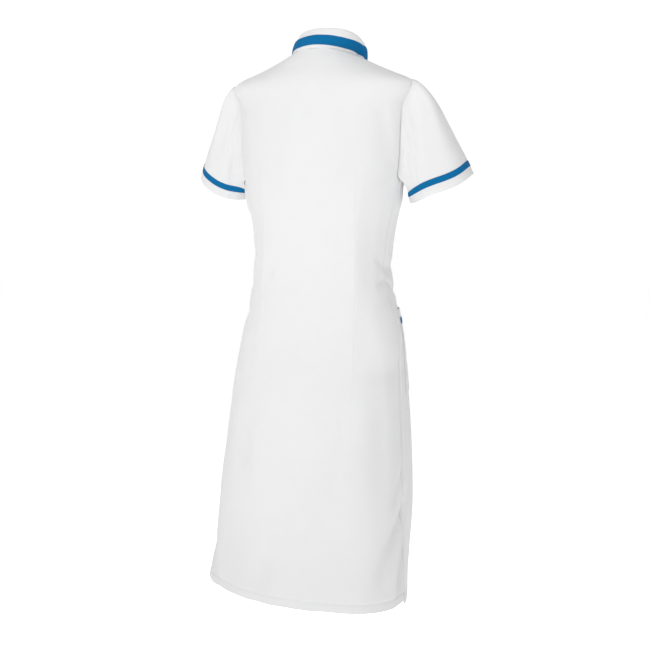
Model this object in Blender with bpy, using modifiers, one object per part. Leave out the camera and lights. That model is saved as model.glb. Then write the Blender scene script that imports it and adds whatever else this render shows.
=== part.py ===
"""Short-sleeved nurse's dress with coloured bands, hollow as when worn, in metres.

Z is up, the front faces -Y and the wearer's right is -X. The origin is at the neck, level with the
points where the shoulder seams meet the collar. Every cut piece of cloth is a wall of its own.
"""
import math
from collections import namedtuple

import bpy
import numpy as np
from mathutils import Vector

# Cloth
CLOTH = 0.0014
RIBBON = 0.0010
SEAM_GAP = 0.0004

# Heights along the body, measured from the neck
TIP_Z = -0.0475
UNDERARM_Z = -0.234
SLIT_TOP_Z = -0.945
HEM_Z = -1.045

# How far the neckline lies to the wearer's left, and how much the collar drops from right to left
NECK_SHIFT = 0.0060
COLLAR_SLOPE = 0.045

# Neckline heights at the centre back and the centre front, and where the neckline stops bending the rows
NECK_BACK_Z = 0.012
NECK_FRONT_Z = -0.065
NECK_BLEND_Z = -0.100

# Seams and armholes, as angles round the body from the centre back
SHOULDER_SEAM = math.radians(90.0)
SIDE_SEAM = math.radians(84.5)
ARMHOLE_BACK = math.radians(12.0)
ARMHOLE_FRONT = math.radians(21.0)
ARMHOLE_SKEW = 0.14

# Front closing: how far each front passes the centre, and how wide the tucked-under stretch is
OVERLAP = 0.015
TUCK_START = 0.045
TUCK_END = 0.017

# Side slits: how far each edge pulls back at the hem, and how far the front flap stands out and hangs down
SLIT_BACK_GAP = 0.002
SLIT_FRONT_GAP = 0.004
FLAP_OUT = 0.001
FLAP_DROP = 0.008
FLAP_WIDTH = math.radians(22.0)

# Rows and columns of the cloth walls
NECK_ROWS = 5
ARMHOLE_ROWS = 12
BODY_ROWS = 18
SLIT_ROWS = 4
BACK_COLUMNS = 22
FRONT_COLUMNS = 14
SLEEVE_ROWS = 8
FINE_ROWS = 61
COLLAR_COLUMNS = 32

# Level sections of the body: height, half width, how far the widest line lies behind the neck, depth of the
# back and of the front from that line, and how square the section is (2 is an ellipse)
Section = namedtuple("Section", "z half_width line_y back front square")
BODY = (
    Section(0.000, 0.0660, 0.0000, 0.0590, 0.0580, 2.00),
    Section(-0.016, 0.1010, 0.0085, 0.0650, 0.0725, 2.00),
    Section(-0.032, 0.1360, 0.0165, 0.0680, 0.0850, 2.05),
    Section(TIP_Z, 0.1731, 0.0244, 0.0700, 0.0975, 2.10),
    Section(-0.100, 0.1725, 0.0235, 0.0865, 0.1115, 2.10),
    Section(-0.150, 0.1710, 0.0210, 0.0980, 0.1230, 2.10),
    Section(-0.200, 0.1690, 0.0178, 0.1060, 0.1280, 2.10),
    Section(-0.245, 0.1630, 0.0156, 0.1095, 0.1290, 2.10),
    Section(-0.340, 0.1442, 0.0135, 0.1034, 0.1105, 2.15),
    Section(-0.400, 0.1418, 0.0123, 0.1024, 0.0947, 2.20),
    Section(-0.470, 0.1498, 0.0103, 0.1085, 0.0970, 2.20),
    Section(-0.550, 0.1659, 0.0114, 0.1190, 0.1100, 2.20),
    Section(-0.650, 0.1802, 0.0174, 0.1354, 0.1334, 2.20),
    Section(-0.800, 0.1946, 0.0276, 0.1452, 0.1389, 2.30),
    Section(SLIT_TOP_Z, 0.2008, 0.0389, 0.1453, 0.1446, 2.40),
    Section(HEM_Z, 0.2033, 0.0501, 0.1460, 0.1465, 2.60),
)

# Large soft folds of the skirt: angle at the hem and at the fold's top, height of the top, half width of the
# fold as an angle, and how far it stands out at the hem (negative is a trough)
Fold = namedtuple("Fold", "hem_angle top_angle top_z spread depth")
FOLDS = (
    Fold(-62.0, -48.0, -0.640, 13.0, 0.0050),
    Fold(-34.0, -30.0, -0.720, 12.0, -0.0035),
    Fold(8.0, 6.0, -0.700, 15.0, 0.0030),
    Fold(48.0, 42.0, -0.780, 14.0, -0.0080),
    Fold(73.0, 70.0, -0.880, 9.0, 0.0040),
    Fold(112.0, 106.0, -0.660, 12.0, -0.0050),
    Fold(146.0, 138.0, -0.700, 13.0, 0.0050),
    Fold(-108.0, -106.0, -0.860, 16.0, -0.0110),
    Fold(-148.0, -142.0, -0.740, 12.0, 0.0050),
)

# Sleeves: the hem ring's centre on each side, the forward lean of its axis as a slope, its radius up the
# sleeve's height, and how far the cap stands out from the armhole at the top
Sleeve = namedtuple("Sleeve", "centre lean height_radius cap_reach")
SLEEVES = {
    "left": Sleeve((0.2263, -0.0266, -0.2463), 0.346, 0.0635, 0.0270),
    "right": Sleeve((0.2267, -0.0315, -0.2495), 0.221, 0.0668, 0.0380),
}
SLEEVE_TILT = math.radians(22.8)
SLEEVE_DEPTH_RADIUS = 0.0640
SLEEVE_START_TOP = 0.0010
SLEEVE_START_UNDER = 0.0020
CAP_OUT = (0.93, 0.0, -0.36)
CAP_FLARE = 0.28
CAP_REACH_UNDER = 0.018
CAP_START_FULLNESS = 0.80
CAP_END_FULLNESS = 0.60

# Coloured bands: their distance from the hem or edge, and their width
HEM_MARGIN = 0.016
BAND_WIDTH = 0.012
BAND_GAP = 0.0004
BAND_LIFT = (CLOTH + RIBBON) / 2 + BAND_GAP
COLLAR_MARGIN = 0.0075
COLLAR_MARGIN_LESS = 0.0042
COLLAR_MARGIN_END = math.radians(65.0)
COLLAR_BAND_WIDTH = 0.019
SLEEVE_ENDS = np.array([HEM_MARGIN + BAND_WIDTH, HEM_MARGIN, 0.0])

# Collar: the fold's ring, and ribs round the neck with the fold's height, where the leaf's edge falls on
# the body, and the leaf's width
FOLD_HALF_WIDTH = 0.0555
FOLD_HALF_DEPTH = 0.0490
FOLD_RADIUS = 0.0022
LEAF_START = 0.0011
STAND_CLEARANCE = 0.0016
COLLAR_END = math.radians(174.0)
FOLD_ROUND = 0.0006
LEAF_TOP_ROWS = (0.0, 0.0014, 0.0031, 0.0048, 0.0066, 0.0090)
LEAF_BAND_ROWS = 4
LEAF_LIFT = 0.0028
LEAF_BULGE = 0.0040
Rib = namedtuple("Rib", "angle fold_z edge_angle width")
COLLAR = (
    Rib(0.0, 0.0472, 0.0, 0.0385),
    Rib(45.0, 0.0433, 44.0, 0.0365),
    Rib(90.0, 0.0289, 88.0, 0.032),
    Rib(120.0, 0.0130, 114.0, 0.038),
    Rib(150.0, -0.0160, 137.0, 0.050),
    Rib(174.0, -0.0330, 155.0, 0.066),
)

# Pockets on the fronts: angles of their edges, height of the mouth and of the bottom, and how far the
# mouth stands open
POCKET_OUTER = math.radians(97.0)
POCKET_INNER = math.radians(146.0)
POCKET_MOUTH_Z = -0.488
POCKET_BOTTOM_Z = -0.653
POCKET_OPEN = 0.0045
POCKET_LIFT = CLOTH + 2 * SEAM_GAP
POCKET_ROWS = 6
POCKET_COLUMNS = 8

# Buttons down the centre of the right front
BUTTON_RADIUS = 0.0075
BUTTON_THICKNESS = 0.0026
BUTTON_RIM = 0.0006
BUTTON_SHANK = 0.0008
BUTTON_STEPS = 14
BUTTON_COUNT = 8
FIRST_BUTTON_Z = -0.085
LAST_BUTTON_Z = -0.785

WHITE = (0.87, 0.87, 0.87, 1.0)
BLUE = (0.0, 0.155, 0.40, 1.0)
BUTTON_WHITE = (0.82, 0.82, 0.80, 1.0)


def clear_scene():
    for item in list(bpy.data.objects):
        bpy.data.objects.remove(item, do_unlink=True)


def make_material(name, colour, roughness):
    made = bpy.data.materials.new(name)
    made.use_nodes = True
    shader = made.node_tree.nodes["Principled BSDF"]
    shader.inputs["Base Color"].default_value = colour
    shader.inputs["Roughness"].default_value = roughness
    shader.inputs["Metallic"].default_value = 0.0
    return made


def smooth_curve(places, values, at):
    """Values on a smooth curve through rising places."""
    slopes = np.gradient(values, places)
    index = np.clip(np.searchsorted(places, at) - 1, 0, len(places) - 2)
    step = places[index + 1] - places[index]
    part = np.clip((at - places[index]) / step, 0.0, 1.0)
    start = values[index] * (1 + 2 * part) * (1 - part) ** 2 + slopes[index] * step * part * (1 - part) ** 2
    end = values[index + 1] * (3 - 2 * part) * part ** 2 + slopes[index + 1] * step * part ** 2 * (part - 1)
    return start + end


def body_value(column, level):
    places = np.array([row.z for row in BODY])[::-1]
    values = np.array([getattr(row, column) for row in BODY])[::-1]
    return smooth_curve(places, values, np.asarray(level, float))


def rib_value(column, angle):
    places = np.radians([row.angle for row in COLLAR])
    values = np.array([getattr(row, column) for row in COLLAR])
    return smooth_curve(places, values, np.abs(np.asarray(angle, float)))


def ease(part):
    part = np.clip(part, 0.0, 1.0)
    return part * part * (3.0 - 2.0 * part)


def fold_depth(angle, level):
    """How far the large folds stand out from the body's sections."""
    wrapped = (angle + math.pi) % (2.0 * math.pi) - math.pi
    total = np.zeros(np.broadcast(angle, level).shape)
    for fold in FOLDS:
        down = np.clip((fold.top_z - level) / (fold.top_z - HEM_Z), 0.0, 1.0)
        middle = np.radians(fold.top_angle + (fold.hem_angle - fold.top_angle) * down)
        across = (wrapped - middle) / math.radians(fold.spread)
        total = total + fold.depth * ease(down) * np.exp(-across * across)
    return total


def neck_rise(angle):
    cosine = np.cos(angle)
    back = NECK_BACK_Z * np.maximum(cosine, 0.0) ** 2
    front = NECK_FRONT_Z * np.maximum(-cosine, 0.0) ** 1.6
    return back + front


def body_point(angle, level):
    """Point of the body's middle surface; a negative angle is on the wearer's right."""
    angle = np.asarray(angle, float)
    level = np.asarray(level, float)
    cosine = np.cos(angle)
    sine = np.sin(angle)
    half_width = body_value("half_width", level)
    depth = np.where(cosine >= 0.0, body_value("back", level), body_value("front", level))
    square = body_value("square", level)
    radius = (np.abs(sine / half_width) ** square + np.abs(cosine / depth) ** square) ** (-1.0 / square)
    radius = radius + fold_depth(angle, level)
    x = radius * sine + NECK_SHIFT * ease(1.0 - level / TIP_Z)
    z = level + neck_rise(angle) * ease(1.0 - level / NECK_BLEND_Z)
    return np.stack([x, body_value("line_y", level) + radius * cosine, z], axis=-1)


def body_normal(angle, level):
    """Outward direction of the body's surface."""
    small = 1e-4
    round_it = body_point(angle + small, level) - body_point(angle - small, level)
    upward = body_point(angle, level + small) - body_point(angle, level - small)
    normal = np.cross(upward, round_it)
    return normal / np.linalg.norm(normal, axis=-1, keepdims=True)


def lifted_point(angle, level, lift):
    return body_point(angle, level) + body_normal(angle, level) * np.asarray(lift, float)[..., None]


def arc_rate(angle, level):
    """Metres along the body for each radian round it."""
    small = 1e-4
    step = body_point(angle + small, level) - body_point(angle - small, level)
    return np.linalg.norm(step, axis=-1) / (2.0 * small)


def armhole_level(turn):
    """Height of the armhole's edge, turning from the shoulder tip to the underarm; it is widest high up."""
    place = (1.0 + np.cos(turn)) / 2 + ARMHOLE_SKEW * np.sin(turn) ** 2
    return UNDERARM_Z + (TIP_Z - UNDERARM_Z) * place


def armhole_share(level):
    """How far open the armhole is at a level: 0 at its ends, 1 where it is widest."""
    turn = np.linspace(math.pi, 0.0, 721)
    return np.interp(level, armhole_level(turn), np.sin(turn), left=0.0, right=0.0)


def seam_angle(level):
    """Angle of the side seam below the armhole and of the shoulder seam above it."""
    return SIDE_SEAM + (SHOULDER_SEAM - SIDE_SEAM) * np.clip((level - UNDERARM_Z) / (TIP_Z - UNDERARM_Z), 0, 1)


def slit_share(level):
    return np.clip((SLIT_TOP_Z - level) / (SLIT_TOP_Z - HEM_Z), 0.0, 1.0)


def back_edge(level):
    angle = seam_angle(level) - ARMHOLE_BACK * armhole_share(level)
    gap = SEAM_GAP / 2 + SLIT_BACK_GAP * slit_share(level)
    return angle - gap / arc_rate(angle, level)


def front_edge(level):
    angle = seam_angle(level) + ARMHOLE_FRONT * armhole_share(level)
    gap = SEAM_GAP / 2 + SLIT_FRONT_GAP * slit_share(level)
    return angle + gap / arc_rate(angle, level)


def panel_levels():
    """Heights of the rows of every body panel, from the neckline to the hem."""
    neck = np.linspace(0.0, TIP_Z, NECK_ROWS, endpoint=False)
    armhole = armhole_level(np.linspace(0.0, math.pi, ARMHOLE_ROWS + 1))
    below = np.linspace(UNDERARM_Z, SLIT_TOP_Z, BODY_ROWS + 1)[1:]
    slit = np.linspace(SLIT_TOP_Z, HEM_Z, SLIT_ROWS + 1)[1:]
    return np.concatenate([neck, armhole, below, slit])


def panel_point(angle, level, lift):
    """Point above the flat facets between the panels' rows, for what is sewn onto them."""
    rows = panel_levels()
    above = np.clip(np.searchsorted(-rows, -np.asarray(level, float), side="right") - 1, 0, len(rows) - 2)
    part = ((rows[above] - level) / (rows[above] - rows[above + 1]))[..., None]
    return lifted_point(angle, rows[above], lift) * (1.0 - part) + lifted_point(angle, rows[above + 1], lift) * part


def grid_object(name, grid, thickness, material, collection, closed=False):
    """A wall of cloth from rows of points, thickened evenly to both sides."""
    rows, columns = grid.shape[:2]
    faces = []
    for row in range(rows - 1):
        for column in range(columns if closed else columns - 1):
            beside = (column + 1) % columns
            corners = (row * columns + column, row * columns + beside)
            below = ((row + 1) * columns + beside, (row + 1) * columns + column)
            faces.append(corners + below)
    mesh = bpy.data.meshes.new(name)
    mesh.from_pydata(grid.reshape(-1, 3).tolist(), [], faces)
    mesh.materials.append(material)
    mesh.shade_smooth()
    made = bpy.data.objects.new(name, mesh)
    collection.objects.link(made)
    wall = made.modifiers.new("Wall", "SOLIDIFY")
    wall.thickness = thickness
    wall.offset = 0.0
    return made


def grid_normals(grid, closed=False):
    """Directions across a grid of points, by the differences of its neighbours."""
    if closed:
        along = np.roll(grid, -1, axis=1) - np.roll(grid, 1, axis=1)
    else:
        along = np.gradient(grid, axis=1)
    down = np.gradient(grid, axis=0)
    normal = np.cross(along, down)
    return normal / np.linalg.norm(normal, axis=-1, keepdims=True)


def raised_rows(grid, rows, lift, closed=False):
    """Some rows of a grid, moved out from it."""
    return (grid + grid_normals(grid, closed) * lift)[rows]


def rows_at(grid, distances):
    """Rows of points at given distances down each column of a fine grid."""
    lengths = np.linalg.norm(np.diff(grid, axis=0), axis=-1)
    travelled = np.concatenate([np.zeros((1, grid.shape[1])), np.cumsum(lengths, axis=0)])
    distances = np.broadcast_to(distances, (len(distances), grid.shape[1]))
    rows = np.empty(distances.shape + (3,))
    for column in range(grid.shape[1]):
        for axis in range(3):
            rows[:, column, axis] = np.interp(distances[:, column], travelled[:, column], grid[:, column, axis])
    return rows


def make_back(white, collection):
    levels = panel_levels()
    edges = back_edge(levels)
    across = np.linspace(-1.0, 1.0, BACK_COLUMNS + 1)
    angles = edges[:, None] * across[None, :]
    grid = body_point(angles, levels[:, None] + 0.0 * angles)
    return grid_object("back", grid, CLOTH, white, collection)


def tuck(angle, level):
    """Share of the full tuck where one front passes under the other."""
    from_centre = (math.pi - np.abs(angle)) * body_value("front", level)
    return ease((TUCK_START - from_centre) / (TUCK_START - TUCK_END))


def make_front(side, name, tucked, white, collection):
    levels = panel_levels()
    outer = front_edge(levels)
    inner = math.pi + OVERLAP / body_value("front", levels)
    across = np.linspace(0.0, 1.0, FRONT_COLUMNS + 1)
    angles = outer[:, None] + (inner - outer)[:, None] * across[None, :]
    rows = levels[:, None] + 0.0 * angles
    flap = slit_share(rows) * (1.0 - ease((angles - outer[:, None]) / FLAP_WIDTH))
    lift = FLAP_OUT * flap
    if tucked:
        lift = lift - (CLOTH + SEAM_GAP) * tuck(angles, rows)
    grid = lifted_point(side * angles, rows, lift)
    grid[..., 2] -= FLAP_DROP * flap
    return grid_object(name, grid, CLOTH, white, collection)


def sleeve_grid(side, where):
    """Rows of a sleeve from the armhole to its hem."""
    shape = SLEEVES[where]
    turn = np.linspace(0.0, 2.0 * math.pi, 2 * ARMHOLE_ROWS, endpoint=False)
    level = armhole_level(turn)
    opening = np.where(np.sin(turn) >= 0.0, ARMHOLE_FRONT, ARMHOLE_BACK) * np.sin(turn)
    armhole = body_point(seam_angle(level) + opening, level)
    axis = np.array([math.sin(SLEEVE_TILT), -shape.lean, -math.cos(SLEEVE_TILT)])
    axis = axis / np.linalg.norm(axis)
    outward = np.array([-axis[2], 0.0, axis[0]])
    outward = outward / np.linalg.norm(outward)
    forward = np.cross(axis, outward)
    around = np.cos(turn)[:, None] * outward * shape.height_radius
    around = around + np.sin(turn)[:, None] * forward * SLEEVE_DEPTH_RADIUS
    hem = np.array(shape.centre) + around
    centre = armhole.mean(axis=0)
    spread = armhole - centre
    spread[:, 0] = 0.0
    spread = spread / np.linalg.norm(spread, axis=1, keepdims=True)
    leave = np.array(CAP_OUT) + CAP_FLARE * spread
    leave = leave / np.linalg.norm(leave, axis=1, keepdims=True)
    under = (1.0 - np.cos(turn))[:, None] / 2
    reach = shape.cap_reach + (CAP_REACH_UNDER - shape.cap_reach) * under
    start = armhole + leave * (SLEEVE_START_TOP + (SLEEVE_START_UNDER - SLEEVE_START_TOP) * under)
    corner = armhole + leave * reach
    first = start + CAP_START_FULLNESS * (corner - start)
    second = hem + CAP_END_FULLNESS * (corner - hem)
    rows = []
    for part in np.linspace(0.0, 1.0, FINE_ROWS):
        rest = 1.0 - part
        rows.append(rest ** 3 * start + 3 * rest ** 2 * part * first + 3 * rest * part ** 2 * second + part ** 3 * hem)
    fine = np.array(rows)
    margin = HEM_MARGIN + BAND_WIDTH
    lengths = np.linalg.norm(np.diff(fine, axis=0), axis=-1).sum(axis=0)
    share = np.linspace(0.0, 1.0, SLEEVE_ROWS + 1)[:-1, None]
    grid = np.concatenate([rows_at(fine, share * (lengths - margin)), rows_at(fine, lengths - SLEEVE_ENDS[:, None])])
    grid[..., 0] *= side
    return grid if side > 0 else grid[:, ::-1]


def make_sleeve(side, where, white, blue, collection):
    grid = sleeve_grid(side, where)
    grid_object("sleeve_" + where, grid, CLOTH, white, collection, closed=True)
    band = raised_rows(grid, slice(-3, -1), BAND_LIFT, closed=True)
    grid_object("sleeve_band_" + where, band, RIBBON, blue, collection, closed=True)


def collar_angles():
    return np.linspace(-COLLAR_END, COLLAR_END, COLLAR_COLUMNS + 1)


def fold_ring(angle):
    """Top of the stand, where the collar folds over."""
    x = FOLD_HALF_WIDTH * np.sin(angle)
    y = FOLD_HALF_DEPTH * np.cos(angle)
    below = FOLD_RADIUS + FOLD_ROUND + LEAF_START + CLOTH / 2
    return np.stack([x, y, rib_value("fold_z", angle) - below - COLLAR_SLOPE * x], axis=-1)


def make_stand(white, collection):
    angle = collar_angles()
    bottom = body_point(angle, np.zeros_like(angle)) + np.array([0.0, 0.0, STAND_CLEARANCE])
    top = fold_ring(angle)
    rows = [top + (bottom - top) * part for part in np.linspace(0.0, 1.0, 4)]
    return grid_object("collar_stand", np.array(rows), CLOTH, white, collection)


def leaf_edge(angle):
    """Lower edge of the leaf: on the body, as far from the fold as the leaf is wide."""
    edge_angle = np.radians(rib_value("edge_angle", angle)) * np.sign(angle)
    width = rib_value("width", angle)
    fold = fold_ring(angle)
    levels = np.linspace(0.0, UNDERARM_Z, 226)
    edge = np.empty((len(angle), 3))
    for index in range(len(angle)):
        line = lifted_point(np.full_like(levels, edge_angle[index]), levels, np.full_like(levels, LEAF_LIFT))
        far = np.linalg.norm(line - fold[index], axis=1)
        place = np.argmax(far >= width[index])
        edge[index] = line[place]
    return edge


def leaf_grid():
    """Rows of the collar's leaf from the stand, over the fold and down to its lower edge."""
    angle = collar_angles()
    fold = fold_ring(angle)
    edge = leaf_edge(angle)
    out = np.stack([np.sin(angle), np.cos(angle), np.zeros_like(angle)], axis=-1)
    up = np.array([0.0, 0.0, 1.0])
    base = fold + up * LEAF_START
    rows = [base]
    for turn in np.radians([0.0, 30.0, 60.0, 90.0, 120.0, 140.0]):
        rows.append(base + up * FOLD_ROUND + FOLD_RADIUS * ((1.0 - math.cos(turn)) * out + math.sin(turn) * up))
    last = rows[-1]
    for part in np.linspace(0.0, 1.0, FINE_ROWS)[1:]:
        rows.append(last + (edge - last) * part + out * LEAF_BULGE * math.sin(math.pi * part))
    fine = np.array(rows)
    lengths = np.linalg.norm(np.diff(fine, axis=0), axis=-1).sum(axis=0)
    top = np.array(LEAF_TOP_ROWS)[:, None] + 0.0 * lengths
    margin = COLLAR_MARGIN - COLLAR_MARGIN_LESS * ease(np.abs(angle) / COLLAR_MARGIN_END)
    band = margin + np.linspace(COLLAR_BAND_WIDTH, 0.0, LEAF_BAND_ROWS)[:, None]
    return np.concatenate([rows_at(fine, top), rows_at(fine, lengths - band), rows_at(fine, lengths[None])])


def make_collar_leaf(white, blue, collection):
    grid = leaf_grid()
    grid_object("collar_leaf", grid, CLOTH, white, collection)
    band = raised_rows(grid, slice(-LEAF_BAND_ROWS - 1, -1), BAND_LIFT)
    grid_object("collar_band", band[:, 1:-1], RIBBON, blue, collection)


def pocket_grid(side):
    """Rows of a patch pocket from its mouth down, standing open in the middle of the mouth."""
    height = POCKET_MOUTH_Z - POCKET_BOTTOM_Z
    below = np.linspace(HEM_MARGIN + BAND_WIDTH, height, POCKET_ROWS + 1)
    drop = np.concatenate([[0.0, HEM_MARGIN], below])[:, None]
    across = np.linspace(0.0, 1.0, POCKET_COLUMNS + 1)[None, :]
    level = POCKET_MOUTH_Z - drop + 0.0 * across
    angle = POCKET_OUTER + (POCKET_INNER - POCKET_OUTER) * across + 0.0 * drop
    swell = POCKET_OPEN * np.sin(math.pi * across) * (1.0 - drop / height) ** 1.5
    return panel_point(side * angle, level, POCKET_LIFT + swell)


def make_pocket(side, where, white, blue, collection):
    grid = pocket_grid(side)
    grid_object("pocket_" + where, grid, CLOTH, white, collection)
    band = raised_rows(grid, slice(1, 3), side * BAND_LIFT)
    grid_object("pocket_band_" + where, band, RIBBON, blue, collection)


def button_mesh(material):
    """Half profile of a flat button with a rounded rim, from its top to its back."""
    radius = BUTTON_RADIUS
    top = BUTTON_THICKNESS / 2
    profile = (
        (0.0, top - BUTTON_RIM),
        (radius * 0.65, top - BUTTON_RIM),
        (radius * 0.82, top),
        (radius, top - BUTTON_RIM),
        (radius * 0.92, -top),
        (0.0, -top),
    )
    mesh = bpy.data.meshes.new("button")
    edges = [(index, index + 1) for index in range(len(profile) - 1)]
    mesh.from_pydata([(x, 0.0, z) for x, z in profile], edges, [])
    mesh.materials.append(material)
    return mesh


def facet_middle(level):
    """Height half way between the two rows of the panels that a height lies between."""
    rows = panel_levels()
    above = np.clip(np.searchsorted(-rows, -level, side="right") - 1, 0, len(rows) - 2)
    return (rows[above] + rows[above + 1]) / 2


def make_buttons(material, collection):
    mesh = button_mesh(material)
    lift = CLOTH / 2 + BUTTON_SHANK + BUTTON_THICKNESS / 2
    for number in range(BUTTON_COUNT):
        level = facet_middle(FIRST_BUTTON_Z + (LAST_BUTTON_Z - FIRST_BUTTON_Z) * number / (BUTTON_COUNT - 1))
        angle = np.array(math.pi)
        place = panel_point(angle, np.array(level), np.array(lift))
        facing = Vector(body_normal(angle, np.array(level)))
        button = bpy.data.objects.new("button_%d" % (number + 1), mesh)
        button.location = Vector(place)
        button.rotation_euler = facing.to_track_quat("Z", "Y").to_euler()
        collection.objects.link(button)
        turned = button.modifiers.new("Turned", "SCREW")
        turned.steps = BUTTON_STEPS
        turned.render_steps = BUTTON_STEPS
        turned.use_merge_vertices = True
        turned.merge_threshold = 0.00002


def main():
    clear_scene()
    collection = bpy.data.collections.new("nurse_dress")
    bpy.context.scene.collection.children.link(collection)
    white = make_material("white_cloth", WHITE, 0.85)
    blue = make_material("blue_band", BLUE, 0.80)
    button = make_material("button_plastic", BUTTON_WHITE, 0.35)
    make_back(white, collection)
    make_front(-1, "front_right", False, white, collection)
    make_front(1, "front_left", True, white, collection)
    for side, where in ((-1, "right"), (1, "left")):
        make_sleeve(side, where, white, blue, collection)
        make_pocket(side, where, white, blue, collection)
    make_stand(white, collection)
    make_collar_leaf(white, blue, collection)
    make_buttons(button, collection)


main()
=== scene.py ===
"""The looks of a short-sleeved nurse's dress with coloured bands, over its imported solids, in metres.

Z is up, the front faces -Y and the wearer's right is -X. Each piece of cloth is a thin shell on the form of
its solid, with seams, darts, turned edges, stitches and soft creases.
"""
import math
from collections import namedtuple

import bmesh
import bpy
import numpy as np
from mathutils import Matrix, Vector


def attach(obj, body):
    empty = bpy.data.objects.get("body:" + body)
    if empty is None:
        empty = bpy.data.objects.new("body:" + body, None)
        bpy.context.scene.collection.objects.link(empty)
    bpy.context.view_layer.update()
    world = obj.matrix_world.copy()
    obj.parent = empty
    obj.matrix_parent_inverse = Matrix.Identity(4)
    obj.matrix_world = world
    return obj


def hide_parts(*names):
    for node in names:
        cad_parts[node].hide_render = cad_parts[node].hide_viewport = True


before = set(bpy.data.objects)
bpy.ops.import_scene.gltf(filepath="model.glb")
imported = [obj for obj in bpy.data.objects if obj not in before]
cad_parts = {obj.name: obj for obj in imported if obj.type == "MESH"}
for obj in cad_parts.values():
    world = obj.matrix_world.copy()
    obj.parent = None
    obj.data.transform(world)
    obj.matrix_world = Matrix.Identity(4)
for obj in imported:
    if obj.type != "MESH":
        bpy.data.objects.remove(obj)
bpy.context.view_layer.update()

FULL_TURN = 2.0 * math.pi
SMALL_STEP = 1e-4
UP = np.array([0.0, 0.0, 1.0])
SIDES = {"right": -1, "left": 1}

# Camera: where it stands round the dress, how far, how high, its aim and its lens
CAMERA_TURN = math.radians(201.53)
CAMERA_DISTANCE = 1.976
CAMERA_HEIGHT = -0.282
CAMERA_PITCH = math.radians(7.07)
CAMERA_AIM = math.radians(-0.02)
CAMERA_ROLL = math.radians(0.91)
CAMERA_LENS = 54.609
SENSOR = 36.0
FLOOR_Z = -1.56
FLOOR_RADIUS = 40.0
FLOOR_SIDES = 96

# The dress's form, which is that of its solids but for the seams' gaps and the armholes' place on the back
TIP_Z = -0.0475
UNDERARM_Z = -0.237
SLIT_TOP_Z = -0.945
HEM_Z = -1.045
NECK_SHIFT = 0.0060
COLLAR_SLOPE = 0.045
NECK_BACK_Z = 0.012
NECK_FRONT_Z = -0.065
NECK_FRONT_POWER = 1.6
NECK_BLEND_Z = -0.100
SHOULDER_SEAM = math.radians(90.0)
SIDE_SEAM = math.radians(84.5)
ARMHOLE_BACK = math.radians(6.5)
ARMHOLE_FRONT = math.radians(21.0)
ARMHOLE_SKEW = 0.14
OVERLAP = 0.015
TUCK_DEPTH = 0.0018
TUCK_START = 0.045
TUCK_END = 0.017
SEAM_GAP = 0.0004
SLIT_BACK_GAP = 0.0010
SLIT_FRONT_GAP = 0.0012
FLAP_OUT = 0.001
FLAP_DROP = 0.008
FLAP_WIDTH = math.radians(22.0)

Section = namedtuple("Section", "z half_width line_y back front square")
BODY = [Section(*row) for row in (
    (0.000, 0.0660, 0.0000, 0.0590, 0.0580, 2.00),
    (-0.016, 0.1010, 0.0085, 0.0650, 0.0725, 2.00),
    (-0.032, 0.1360, 0.0165, 0.0680, 0.0850, 2.05),
    (TIP_Z, 0.1731, 0.0244, 0.0700, 0.0975, 2.10),
    (-0.100, 0.1725, 0.0235, 0.0865, 0.1115, 2.10),
    (-0.150, 0.1710, 0.0210, 0.0980, 0.1230, 2.10),
    (-0.200, 0.1690, 0.0178, 0.1060, 0.1280, 2.10),
    (-0.245, 0.1630, 0.0156, 0.1095, 0.1290, 2.10),
    (-0.340, 0.1442, 0.0135, 0.1034, 0.1105, 2.15),
    (-0.400, 0.1418, 0.0123, 0.1024, 0.0947, 2.20),
    (-0.470, 0.1498, 0.0103, 0.1085, 0.0970, 2.20),
    (-0.550, 0.1659, 0.0114, 0.1190, 0.1100, 2.20),
    (-0.650, 0.1802, 0.0174, 0.1354, 0.1334, 2.20),
    (-0.800, 0.1946, 0.0276, 0.1452, 0.1389, 2.30),
    (SLIT_TOP_Z, 0.2008, 0.0389, 0.1453, 0.1446, 2.40),
    (HEM_Z, 0.2033, 0.0501, 0.1460, 0.1465, 2.60),
)]

# The large folds: angles at the hem and at the top, where each starts, its spread in degrees and its depth
Fold = namedtuple("Fold", "hem_angle top_angle top_z spread depth")
FOLDS = [Fold(*row) for row in (
    (-62.0, -48.0, -0.640, 13.0, 0.0050),
    (-34.0, -30.0, -0.720, 12.0, -0.0035),
    (8.0, 6.0, -0.700, 15.0, 0.0030),
    (48.0, 42.0, -0.780, 14.0, -0.0080),
    (73.0, 70.0, -0.880, 9.0, 0.0040),
    (112.0, 106.0, -0.660, 12.0, -0.0050),
    (146.0, 138.0, -0.700, 13.0, 0.0050),
    (-108.0, -106.0, -0.860, 16.0, -0.0110),
    (-148.0, -142.0, -0.740, 12.0, 0.0050),
)]

Sleeve = namedtuple("Sleeve", "centre lean height_radius cap_reach")
SLEEVES = {
    "left": Sleeve((0.2248, -0.0266, -0.2463), 0.346, 0.0650, 0.0270),
    "right": Sleeve((0.2267, -0.0315, -0.2495), 0.221, 0.0668, 0.0380),
}
SLEEVE_TILT = math.radians(22.8)
SLEEVE_DEPTH_RADIUS = 0.0640
SLEEVE_START = 0.0005
CAP_OUT = (0.93, 0.0, -0.36)
CAP_FLARE = 0.28
CAP_REACH_UNDER = 0.018
CAP_START_FULLNESS = 1.00
CAP_END_FULLNESS = 0.60

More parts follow.
